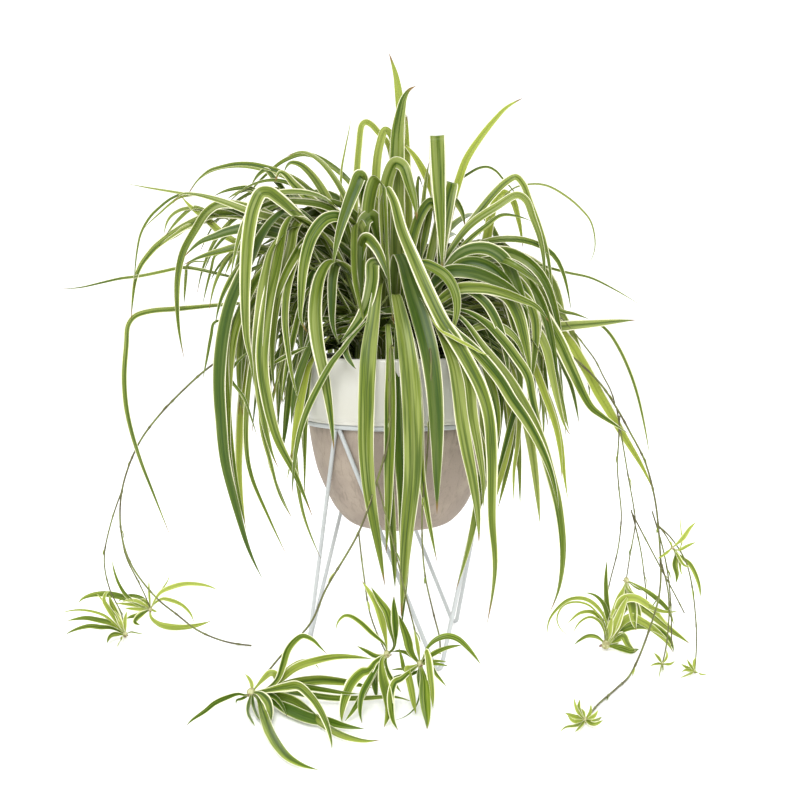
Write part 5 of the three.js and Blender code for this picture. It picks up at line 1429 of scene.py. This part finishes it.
def make_leaf(name, colours, margin_from=MARGIN_FROM):
    """Living strap leaf: a waxy green blade with fine veins along it, cream margins and a paler underside.

    It shines softly, and light from behind comes through it yellow green.
    """
    material, tree, shader, output = new_material(name)
    place = add_node(tree, "ShaderNodeAttribute", attribute_name="strand_place")
    kind = add_node(tree, "ShaderNodeAttribute", attribute_name="strand_kind")
    spot = add_node(tree, "ShaderNodeSeparateXYZ", {0: place.outputs["Vector"]})
    leaf = add_node(tree, "ShaderNodeSeparateXYZ", {0: kind.outputs["Vector"]})
    across, along_mm, half_mm = spot.outputs
    tone, underside, share = leaf.outputs
    off_rib = reckon(tree, "ABSOLUTE", across)
    seed = reckon(tree, "MULTIPLY", tone, 163.0)

    # Veins run along the blade, about a millimetre apart, and drift over some centimetres
    vein_at = add_node(tree, "ShaderNodeCombineXYZ", {
        0: reckon(tree, "DIVIDE", reckon(tree, "MULTIPLY", across, half_mm), VEIN_SPACING),
        1: reckon(tree, "DIVIDE", along_mm, VEIN_DRIFT), 2: seed})
    veins = add_node(tree, "ShaderNodeTexNoise", {
        "Vector": vein_at.outputs[0], "Scale": 1.0, "Detail": 3.0})
    streak_at = add_node(tree, "ShaderNodeCombineXYZ", {
        0: reckon(tree, "MULTIPLY", across, 2.2), 1: reckon(tree, "DIVIDE", along_mm, STREAK_DRIFT), 2: seed})
    streaks = add_node(tree, "ShaderNodeTexNoise", {
        "Vector": streak_at.outputs[0], "Scale": 1.0, "Detail": 2.0})

    # The cream margin is wider on some leaves than on others, and its edge wanders
    wander_at = add_node(tree, "ShaderNodeCombineXYZ", {
        0: reckon(tree, "SIGN", across), 1: reckon(tree, "DIVIDE", along_mm, MARGIN_DRIFT), 2: seed})
    wander = add_node(tree, "ShaderNodeTexNoise", {
        "Vector": wander_at.outputs[0], "Scale": 1.0, "Detail": 1.0})
    own = reckon(tree, "FRACT", reckon(tree, "MULTIPLY", tone, 37.3))
    edge = reckon(tree, "ADD", remap(tree, own, 0, 1, margin_from, 0.97, smooth=False),
                  remap(tree, wander.outputs[0], 0.3, 0.7, -0.06, 0.06, smooth=False))
    past_edge = reckon(tree, "SUBTRACT", off_rib, edge)
    margin = remap(tree, past_edge, -0.06, 0.05)
    beside = remap(tree, past_edge, -0.3, -0.02, 0.0, 0.3)

    vein_share = remap(tree, veins.outputs[0], 0.44, 0.54)
    green = blend_colours(tree, vein_share, colours["deep"], colours["green"])
    fresh = reckon(tree, "ADD", remap(tree, tone, 0.25, 0.9, 0.0, 0.45),
                   remap(tree, streaks.outputs[0], 0.46, 0.62, 0.0, 0.55))
    green = blend_colours(tree, fresh, green, colours["light"])
    green = blend_colours(tree, remap(tree, tone, 0.72, 1.0, 0.0, 0.85), green, colours["young"])
    middle = remap(tree, off_rib, 0.1, 0.6, 0.2, 0.0)
    green = blend_colours(tree, middle, green, colours["deep"])
    old = remap(tree, tone, 0.0, 0.35, 0.75, 0.0)
    green = blend_colours(tree, old, green, colours["old"])
    # Painted shade: the blade is darkened along the crease of its fold, down to 0.82 at the rib
    crease_shade_level = remap(tree, off_rib, 0.02, 0.1, 0.82, 1.0)
    painted_crease_shade = add_node(tree, "ShaderNodeCombineColor", {0: crease_shade_level, 1: crease_shade_level, 2: crease_shade_level})
    green = blend_colours(tree, 1.0, green, painted_crease_shade.outputs[0], how="MULTIPLY")
    green = blend_colours(tree, beside, green, colours["light"])
    colour = blend_colours(tree, margin, green, colours["margin"])
    paler = reckon(tree, "MULTIPLY", underside, 0.2)
    colour = blend_colours(tree, paler, colour, colours["under"])
    root = remap(tree, share, 0.0, 0.12, 0.6, 0.0)
    colour = blend_colours(tree, root, colour, colours["root"])
    # About half of the leaves have a dried tip
    lot = reckon(tree, "FRACT", reckon(tree, "MULTIPLY", tone, 71.9))
    drawn = reckon(tree, "GREATER_THAN", lot, 0.45)
    dried = reckon(tree, "MULTIPLY", remap(tree, share, 0.955, 0.985), drawn)
    colour = blend_colours(tree, dried, colour, colours["dry"])

    bump = add_node(tree, "ShaderNodeBump", {
        "Strength": 0.5, "Distance": VEIN_RELIEF * MM, "Height": veins.outputs[0]})
    roughness = remap(tree, underside, 0, 1, 0.34, 0.5, smooth=False)
    fill_inputs(tree, shader, {
        "Base Color": colour, "Normal": bump.outputs[0], "Roughness": roughness, "IOR": 1.33})
    glow = add_node(tree, "ShaderNodeBsdfTranslucent", {
        "Color": blend_colours(tree, 0.45, colour, colours["glow"]), "Normal": bump.outputs[0]})
    lit = add_node(tree, "ShaderNodeMixShader", {0: 0.32, 1: shader.outputs[0], 2: glow.outputs[0]})
    fill_inputs(tree, output, {"Surface": lit.outputs[0]})
    return material


def make_stem(settings):
    """Runner stem: tough green skin that weathers to olive brown, duller than a leaf."""
    material, tree, shader, _ = new_material("runner stem skin")
    place = add_node(tree, "ShaderNodeAttribute", attribute_name="strand_place")
    spot = add_node(tree, "ShaderNodeSeparateXYZ", {0: place.outputs["Vector"]})
    at = add_node(tree, "ShaderNodeCombineXYZ", {
        0: spot.outputs[0], 1: reckon(tree, "DIVIDE", spot.outputs[1], 22.0), 2: spot.outputs[2]})
    patches = add_node(tree, "ShaderNodeTexNoise", {"Vector": at.outputs[0], "Scale": 1.0, "Detail": 3.0})
    share = remap(tree, patches.outputs[0], 0.35, 0.65)
    colour = blend_colours(tree, share, (*settings.stem_dark, 1), (*settings.stem_green, 1))
    fill_inputs(tree, shader, {"Base Color": colour, "Roughness": 0.55})
    return material


def make_heart():
    """Plantlet heart: pale packed leaf bases that turn brown where roots have started."""
    material, tree, shader, _ = new_material("plantlet heart and roots")
    kind = add_node(tree, "ShaderNodeAttribute", attribute_name="strand_kind")
    leaf = add_node(tree, "ShaderNodeSeparateXYZ", {0: kind.outputs["Vector"]})
    point = add_node(tree, "ShaderNodeTexCoord").outputs["Object"]
    grain = add_node(tree, "ShaderNodeTexNoise", {"Vector": point, "Scale": 1 / (2.5 * MM), "Detail": 2.0})
    grains = remap(tree, grain.outputs[0], 0.35, 0.65)
    pale = blend_colours(tree, grains, linear("b9b98a"), linear("8f8a5c"))
    colour = blend_colours(tree, leaf.outputs[1], pale, linear("9a7463"))
    end = reckon(tree, "MULTIPLY", leaf.outputs[1], leaf.outputs[2])
    colour = blend_colours(tree, end, colour, linear("6b4a3e"))
    fill_inputs(tree, shader, {"Base Color": colour, "Roughness": 0.7})
    return material


def make_glaze(settings):
    """White stoneware glaze, dipped and fired: smooth and softly bright, a trace uneven."""
    material, tree, shader, _ = new_material("white stoneware glaze")
    point = add_node(tree, "ShaderNodeTexCoord").outputs["Object"]
    cloud = add_node(tree, "ShaderNodeTexNoise", {"Vector": point, "Scale": 1 / (38 * MM), "Detail": 3.0})
    white = (*settings.glaze, 1)
    warm = [v * f for v, f in zip(white, (0.955, 0.945, 0.915, 1))]
    colour = blend_colours(tree, remap(tree, cloud.outputs[0], 0.35, 0.7), white, warm)
    ripple = add_node(tree, "ShaderNodeTexNoise", {"Vector": point, "Scale": 1 / (9 * MM), "Detail": 2.0})
    bump = add_node(tree, "ShaderNodeBump", {
        "Strength": 0.25, "Distance": 0.15 * MM, "Height": ripple.outputs[0]})
    fill_inputs(tree, shader, {"Base Color": colour, "Normal": bump.outputs[0], "Roughness": 0.32,
                               "Coat Weight": 0.25, "Coat Roughness": 0.2})
    return material


def make_clay(settings):
    """Bare stoneware, cast and sponged: dull, with soft blotches, faint drawn streaks and fine grit."""
    material, tree, shader, _ = new_material("bare taupe stoneware")
    point = add_node(tree, "ShaderNodeTexCoord").outputs["Object"]
    blotch = add_node(tree, "ShaderNodeTexNoise", {
        "Vector": point, "Scale": 1 / (34 * MM), "Detail": 4.0, "Distortion": 0.6})
    stretched = add_node(tree, "ShaderNodeMapping", {
        "Vector": point, "Rotation": (0.2, 0.35, 0.0), "Scale": (1.0, 1.0, 0.22)})
    drawn = add_node(tree, "ShaderNodeTexNoise", {
        "Vector": stretched.outputs[0], "Scale": 1 / (5.5 * MM), "Detail": 3.0, "Distortion": 1.2})
    grit = add_node(tree, "ShaderNodeTexNoise", {"Vector": point, "Scale": 1 / (0.9 * MM), "Detail": 1.0})
    base, dark, light = (*settings.clay, 1), (*settings.clay_dark, 1), (*settings.clay_light, 1)
    colour = blend_colours(tree, remap(tree, blotch.outputs[0], 0.4, 0.68, 0.0, 0.75), base, light)
    colour = blend_colours(tree, remap(tree, drawn.outputs[0], 0.5, 0.74, 0.0, 0.45), colour, dark)
    colour = blend_colours(tree, remap(tree, grit.outputs[0], 0.62, 0.74, 0.0, 0.5), colour, dark)
    bump = add_node(tree, "ShaderNodeBump", {
        "Strength": 0.45, "Distance": 0.12 * MM, "Height": grit.outputs[0]})
    fill_inputs(tree, shader, {"Base Color": colour, "Normal": bump.outputs[0], "Roughness": 0.8})
    return material


def make_powder_coat(settings):
    """Powder-coated steel wire: an even white skin, half matt, with a faint orange peel."""
    material, tree, shader, _ = new_material("white powder coat")
    point = add_node(tree, "ShaderNodeTexCoord").outputs["Object"]
    peel = add_node(tree, "ShaderNodeTexNoise", {"Vector": point, "Scale": 1 / (0.8 * MM), "Detail": 1.0})
    tone = add_node(tree, "ShaderNodeTexNoise", {"Vector": point, "Scale": 1 / (30 * MM), "Detail": 1.0})
    white = (*settings.coat, 1)
    duller = [v * 0.94 for v in white[:3]] + [1]
    colour = blend_colours(tree, remap(tree, tone.outputs[0], 0.35, 0.65), white, duller)
    bump = add_node(tree, "ShaderNodeBump", {
        "Strength": 0.3, "Distance": 0.04 * MM, "Height": peel.outputs[0]})
    fill_inputs(tree, shader, {"Base Color": colour, "Normal": bump.outputs[0], "Roughness": 0.42})
    return material


def make_potting_mix():
    """Moist potting mix: dark peat crumbs with paler fibres, and no shine."""
    material, tree, shader, _ = new_material("potting mix")
    point = add_node(tree, "ShaderNodeTexCoord").outputs["Object"]
    crumb = add_node(tree, "ShaderNodeTexNoise", {"Vector": point, "Scale": 1 / (3.5 * MM), "Detail": 4.0})
    fleck = add_node(tree, "ShaderNodeTexVoronoi", {"Vector": point, "Scale": 1 / (7 * MM)})
    crumbs = remap(tree, crumb.outputs[0], 0.35, 0.7)
    fibres = remap(tree, fleck.outputs["Distance"], 0.0, 0.16, 0.7, 0.0)
    colour = blend_colours(tree, crumbs, linear("1e1713"), linear("4a3a2c"))
    colour = blend_colours(tree, fibres, colour, linear("8a7358"))
    bump = add_node(tree, "ShaderNodeBump", {
        "Strength": 1.0, "Distance": 1.2 * MM, "Height": crumb.outputs[0]})
    fill_inputs(tree, shader, {"Base Color": colour, "Normal": bump.outputs[0], "Roughness": 0.95})
    return material


def make_paper(settings):
    """Seamless studio paper: white and matt, lit so that only soft shadows show on it."""
    material, tree, shader, _ = new_material("seamless paper")
    point = add_node(tree, "ShaderNodeTexCoord").outputs["Object"]
    pulp = add_node(tree, "ShaderNodeTexNoise", {"Vector": point, "Scale": 1 / (60 * MM), "Detail": 2.0})
    white = (*settings.paper, 1)
    colour = blend_colours(tree, pulp.outputs[0], white, [v * 0.985 for v in white[:3]] + [1])
    fill_inputs(tree, shader, {"Base Color": colour, "Roughness": 0.9})
    return material


class PLANT_OT_pot(bpy.types.Operator):
    """Turn the pot: a glazed band over a bare rounded body"""

    bl_idname = "plant.make_pot"
    bl_label = "Pot"

    def execute(self, context):
        settings = context.scene.plant_pot
        groove = settings.groove / MM
        body = [[0, POT_BOTTOM], [20, POT_BOTTOM], *BODY_OUTSIDE, [BODY_TOP_RADIUS - 0.2, LEDGE_HEIGHT - 1.5]]
        body = smooth_route([[r, z, 0] for r, z in body], 3.0)[0][:, :2].tolist()
        low, high = LEDGE_HEIGHT, RIM_HEIGHT
        band = [
            [BODY_TOP_RADIUS, low - 0.5], [BODY_TOP_RADIUS, low], [BAND_FOOT_RADIUS - 1, low],
            *arc([BAND_FOOT_RADIUS - 1, low + 1], 1, -70, 0), [BAND_FOOT_RADIUS + 0.05, low + 2.6],
            [BAND_FOOT_RADIUS - groove, low + 3.4], [BAND_FOOT_RADIUS + 0.1, low + 4.3],
            [BAND_FOOT_RADIUS + 0.3, low + 8], [BAND_FOOT_RADIUS + 0.95, low + 30],
            [RIM_RADIUS - 0.1, high - 8], *arc([RIM_RADIUS - 3, high - 3], 3, 0, 90, 7),
            *arc([RIM_RADIUS - 3.6, high - 2.4], 2.4, 90, 180, 7),
        ]
        inner = RIM_RADIUS - WALL
        inside = [[inner - 0.6, high - 14], [inner - 2, low + 8], [BODY_TOP_RADIUS - WALL, low - 6],
                  *BODY_INSIDE, [0, POT_BOTTOM + WALL]]
        outline = body + band + inside
        points, faces = spin(outline, TURN_STEPS)
        mesh = solid_mesh("fired_pot", points, faces)
        across, deep, heights = np.array(points).T
        radii = np.hypot(across, deep)
        # The glaze covers the band, and inside it runs down past the ledge
        for polygon in mesh.polygons:
            corners = list(polygon.vertices)
            lowest = heights[corners].min()
            glazed = lowest >= low - 0.01 or lowest > low - GLAZE_INSIDE and radii[corners].max() < inner - 0.3
            polygon.material_index = 0 if glazed else 1
        settle(mesh, "fired_pot", [make_glaze(settings), make_clay(settings)], ["pot"])
        return {"FINISHED"}


class PLANT_OT_soil(bpy.types.Operator):
    """Fill the pot with a low mound of potting mix, with loose crumbs on it"""

    bl_idname = "plant.make_soil"
    bl_label = "Potting Mix"

    def execute(self, context):
        settings = context.scene.plant_pot
        draw = seeded_random(SEED + 2)
        edge = RIM_RADIUS - WALL - 2.6
        foot = SOIL_HEIGHT - 3
        rise = SOIL_MOUND + 3
        rows = 22
        side = [
            [0, POT_BOTTOM + WALL + SOIL_GAP],
            *[[r - SOIL_GAP, z + SOIL_GAP] for r, z in reversed(BODY_INSIDE)],
            [BODY_TOP_RADIUS - WALL - SOIL_GAP, LEDGE_HEIGHT - 6], [edge, LEDGE_HEIGHT + 8],
        ]
        top = [[edge * (1 - k / rows), foot + rise * (1 - (1 - k / rows) ** 2)] for k in range(rows + 1)]
        points, faces = spin(side + top, TURN_STEPS // 2)
        points = np.array(points)
        heaped = points[:, 2] > foot - 1
        across, deep = points[:, 0], points[:, 1]
        wave = np.sin(across / 7.1 + 1) * np.sin(deep / 6.3)
        wave += 0.6 * np.sin(across / 2.9) * np.cos(deep / 3.3)
        points[heaped, 2] += SOIL_ROUGHNESS * wave[heaped]
        points, faces = points.tolist(), list(faces)
        for _ in range(settings.crumbs):
            azimuth, radius = draw(0, 360), edge * math.sqrt(draw(0.2, 0.96))
            size = draw(*CRUMB_SIZE)
            mound = foot + rise * (1 - (radius / edge) ** 2)
            centre = polar(azimuth, radius - size, mound + 0.3 * size)
            start = len(points)
            for shift in ((1, 0, 0), (0, 1, 0), (-1, 0, 0), (0, -1, 0), (0, 0, 1), (0, 0, -1)):
                points.append([c + size * s * draw(0.6, 1.1) for c, s in zip(centre, shift)])
            for k in range(4):
                after = (k + 1) % 4
                faces += [[start + k, start + after, start + 4], [start + after, start + k, start + 5]]
        settle(solid_mesh("mix", points, faces), "potting_mix_mound", [make_potting_mix()], ["soil"])
        return {"FINISHED"}


class PLANT_OT_stand(bpy.types.Operator):
    """Bend the wire stand: a ring under the pot's ledge and three hairpin legs"""

    bl_idname = "plant.make_stand"
    bl_label = "Wire Stand"

    def execute(self, context):
        settings = context.scene.plant_stand
        coat = make_powder_coat(settings)
        turns = [polar(360 / RING_STEPS * k, RING_RADIUS, RING_HEIGHT) for k in range(RING_STEPS)]
        ring = wire_mesh("ring", np.array(turns), settings.ring_wire / MM / 2, 18, closed=True)
        settle(ring, "wire_ring", [coat], ["stand_ring"])
        for place, azimuth in FOOT_AZIMUTHS.items():
            leg = wire_mesh("leg", hairpin(azimuth), settings.leg_wire / MM / 2, 16)
            settle(leg, f"wire_leg_{place}", [coat], [f"stand_leg_{place}"])
        return {"FINISHED"}


def hairpin(azimuth):
    """Points along a leg: down to the bend on the floor and up again, welded to the ring at both ends."""
    radius = LEG_WIRE / 2
    inward = math.degrees(LEG_PAIR_GAP / LEG_TOP_RADIUS)
    top = RING_HEIGHT - RING_WIRE / 2 + WELD_DEPTH
    aside = LEG_SPREAD - inward
    ends = [np.array(polar(azimuth + side * aside, LEG_TOP_RADIUS, top)) for side in (-1, 1)]
    foot = np.array(polar(azimuth, FOOT_RADIUS, radius))
    across = (ends[1] - ends[0]) / np.linalg.norm(ends[1] - ends[0])
    middle = (ends[0] + ends[1]) / 2
    rise = (middle - foot) / np.linalg.norm(middle - foot)
    centre = foot + rise * FOOT_BEND_RADIUS
    turns = np.radians(np.arange(-75, 76, 10))
    bend = [centre + FOOT_BEND_RADIUS * (across * math.sin(t) - rise * math.cos(t)) for t in turns]
    down = [ends[0] + (bend[0] - ends[0]) * s for s in np.linspace(0, 1, 24, endpoint=False)]
    up = [bend[-1] + (ends[1] - bend[-1]) * s for s in np.linspace(0, 1, 25)[1:]]
    return np.array(down + bend + up)


def wire_mesh(name, points, radius, sides, closed=False):
    """A round wire along points, with its ends closed unless it runs round."""
    before = np.roll(points, 1, axis=0) if closed else np.concatenate([points[:1], points[:-1]])
    after = np.roll(points, -1, axis=0) if closed else np.concatenate([points[1:], points[-1:]])
    along = after - before
    along /= np.linalg.norm(along, axis=1)[:, None]
    radii = np.full(len(points), radius)
    rings = round_rings(points, along, np.cross(along[0], WIRE_SLANT), radii, sides)
    return solid_mesh(name, rings.reshape(-1, 3), tube_faces(len(points), sides, closed))


class PLANT_OT_tuft(bpy.types.Operator):
    """Grow the tuft: listed leaves where they show, seeded ones around them and young ones in the crown"""

    bl_idname = "plant.make_tuft"
    bl_label = "Leaf Tuft"

    def execute(self, context):
        settings = context.scene.plant_leaves
        leaf = make_leaf("living strap leaf", leaf_colours(settings))
        draw = seeded_random(SEED + 3)
        front = Strands()
        for one in FRONT_LEAVES:
            add_front_leaf(front, one, draw(*TONE_SHIFT), fold=settings.fold)
        front.piece("front_leaves", [leaf], "leaf", ["leaf_tuft"])
        reaching = Strands()
        for width, roll, tone, *rib in REACHING_LEAVES:
            spots = [[*spot, -FRONT_PLANE["before"]] for spot in rib]
            add_front_leaf(reaching, [width, roll, roll, tone, *spots], draw(*TONE_SHIFT), fold=settings.fold)
        reaching.piece("reaching_leaves", [leaf], "leaf", ["leaf_tuft"])
        # Tones are drawn at random up to a cap. Inner and crown leaves have a lower cap, so they lean to the
        # old green: partly painted shade for the inside of the tuft
        for name, leaves, gain, lightest_tone in (
            ("filling_leaves", fill_leaves() + side_leaves(), 1.6, 0.6),
            ("inner_leaves", back_leaves(), 1.0, 0.4),
            ("crown_leaves", crown_leaves() + rim_leaves(), 1.0, 0.35),
        ):
            strands = Strands()
            for one in leaves:
                add_blade(strands, one, draw(0.03, lightest_tone), fold=settings.fold, twist_gain=gain)
            strands.piece(name, [leaf], "leaf", ["leaf_tuft"])
        return {"FINISHED"}


class PLANT_OT_runners(bpy.types.Operator):
    """Run the stems out over the rim, with joints every few centimetres and small bracts at them"""

    bl_idname = "plant.make_runners"
    bl_label = "Runners"

    def execute(self, context):
        settings = context.scene.plant_plantlets
        skin = make_stem(settings)
        bract = make_leaf("runner bract", leaf_colours(settings))
        draw = seeded_random(SEED + 4)
        for name, runner in RUNNERS.items():
            strands = Strands()
            for points in (runner["main"], *runner["branches"]):
                share = 1 if points is runner["main"] else BRANCH_SHARE
                radius = STEM_SLIMMING * share * runner["diameter"] / 2
                phase = draw(0, 1)
                stations = seen_points(*seated(points, radius + STEM_CLEARANCE))
                route, along, along_mm = add_stem(strands, stations, radius, END_SHARE * radius, phase)
                # A bract sits at every other joint
                first, last = JOINT_SPACING * (2 - phase), along_mm[-1] - BARE_END
                for at in np.arange(first, last, 2 * JOINT_SPACING):
                    spot = int(np.searchsorted(along_mm, at))
                    heading = along[spot]
                    azimuth = math.degrees(math.atan2(heading[0], -heading[1])) + draw(*BRACT_TURN)
                    length = draw(*BRACT_LENGTH)
                    level, climb = math.hypot(*heading[:2]), heading[2]
                    rib = [
                        [azimuth, 0.4, 0],
                        [azimuth, length * (0.5 * level + 0.18), 0.5 * length * climb],
                        [azimuth, length * (level + 0.12), length * climb],
                    ]
                    strands.paint = 1
                    add_blade(strands, [BRACT_WIDTH, 0, *rib], draw(0, 1), centre=route[spot], step=2.0)
                    strands.paint = 0
            strands.piece(f"{name}_stems", [skin, bract], "runner", [name])
        return {"FINISHED"}


class PLANT_OT_plantlets(bpy.types.Operator):
    """Set the plantlets at the ends of the runners"""

    bl_idname = "plant.make_plantlets"
    bl_label = "Plantlets"

    def execute(self, context):
        settings = context.scene.plant_plantlets
        leaf = make_leaf("young strap leaf", leaf_colours(settings), PLANTLET_MARGIN_FROM)
        heart = make_heart()
        draw = seeded_random(SEED + 5)
        for number, (name, rosettes) in enumerate(PLANTLETS.items()):
            strands = Strands()
            for rosette in rosettes:
                # Plantlets far out to a side get a lighter tone
                tone_lift = FAR_TONE_LIFT if abs(rosette["at"][0]) > FAR_OUT else 0.0
                radius = HEART_SHARE * rosette["heart"]
                spots, before = seated([rosette["at"]], radius + HEART_CLEARANCE)
                at = seen_points(spots, before)[0]
                for width, tone, *rib in rosette["leaves"]:
                    one = [width, min(1, tone + tone_lift), *rib]
                    lean, roll = draw(*PLANTLET_LEAN), draw(*PLANTLET_ROLL)
                    add_plantlet_leaf(strands, one, spots[0], before[0], lean, roll)
                strands.paint = 1
                add_heart(strands, at, radius, number + 1)
                strands.paint = 0
            lowest = min(points[:, 2].min() for points in strands.points)
            lift = max(0.0, HEART_CLEARANCE - lowest)
            strands.piece(f"{name}_rosette", [leaf, heart], "plantlet", [name], lift=lift)
        return {"FINISHED"}


class PLANT_OT_stage(bpy.types.Operator):
    """Lay white paper under the plant, light it softly and set the camera"""

    bl_idname = "plant.make_stage"
    bl_label = "Stage"

    def execute(self, context):
        scene, settings = context.scene, context.scene.plant_stage
        mesh = bpy.data.meshes.new("studio_paper")
        ends = ((-1, -1), (1, -1), (1, 1), (-1, 1))
        corners = [(x * PAPER_REACH, y * PAPER_REACH, -PAPER_SINK) for x, y in ends]
        mesh.from_pydata(corners, [], [(0, 1, 2, 3)])
        mesh.materials.append(make_paper(settings))
        paper = bpy.data.objects.new("studio_paper", mesh)
        scene.collection.objects.link(paper)

        world = bpy.data.worlds.new("even white sky")
        world.use_nodes = True
        sky = world.node_tree.nodes["Background"]
        sky.inputs["Color"].default_value = (1, 1, 1, 1)
        sky.inputs["Strength"].default_value = settings.sky
        scene.world = world

        middle = Vector(AXIS) + Vector((0, 0, LIT_HEIGHT))
        for name, (place, size) in LIGHTS.items():
            light = bpy.data.lights.new(f"{name}_light", "AREA")
            light.size, light.energy = size, getattr(settings, name)
            lamp = bpy.data.objects.new(f"{name}_light", light)
            lamp.location = Vector(AXIS) + Vector(place)
            lamp.rotation_euler = (middle - lamp.location).to_track_quat("-Z", "Y").to_euler()
            scene.collection.objects.link(lamp)

        view = bpy.data.cameras.new("camera")
        for name, value in CAMERA.items():
            setattr(view, name, value)
        camera = bpy.data.objects.new("camera", view)
        tilt = Matrix.Rotation(math.radians(90 - EYE["tilt"]), 4, "X")
        roll = Matrix.Rotation(math.radians(-EYE["roll"]), 4, "Z")
        eye = Vector((EYE["aside"], -FRONT_PLANE["before"] - FRONT_PLANE["distance"], EYE["height"]))
        camera.matrix_world = Matrix.Translation(Vector(AXIS) + MM * eye) @ tilt @ roll
        scene.collection.objects.link(camera)
        scene.camera = camera
        scene.view_settings.view_transform = "Standard"
        scene.view_settings.look = "None"
        return {"FINISHED"}


MAKERS = (
    PLANT_OT_pot, PLANT_OT_soil, PLANT_OT_stand, PLANT_OT_tuft,
    PLANT_OT_runners, PLANT_OT_plantlets, PLANT_OT_stage,
)


class PLANT_PT_sidebar(bpy.types.Panel):
    """The pieces of the plant and their settings"""

    bl_idname = "PLANT_PT_sidebar"
    bl_label = "Spider Plant"
    bl_space_type = "VIEW_3D"
    bl_region_type = "UI"
    bl_category = "Spider Plant"

    def draw(self, context):
        for maker in MAKERS:
            self.layout.operator(maker.bl_idname)
        for name, group in SETTINGS.items():
            box = self.layout.box()
            box.label(text=name.replace("_", " ").title())
            for key in group.__annotations__:
                box.prop(getattr(context.scene, name), key)


def register():
    """Registers the settings, the operators and the panel."""
    for group in (*SETTINGS.values(), *MAKERS, PLANT_PT_sidebar):
        bpy.utils.register_class(group)
    for name, group in SETTINGS.items():
        setattr(bpy.types.Scene, name, PointerProperty(type=group))


def unregister():
    """Takes them away again."""
    for name in SETTINGS:
        delattr(bpy.types.Scene, name)
    for group in reversed((*SETTINGS.values(), *MAKERS, PLANT_PT_sidebar)):
        bpy.utils.unregister_class(group)


def main():
    """Builds the plant in order."""
    register()
    for maker in MAKERS:
        category, name = maker.bl_idname.split(".")
        getattr(getattr(bpy.ops, category), name)()


if __name__ == "__main__":
    main()
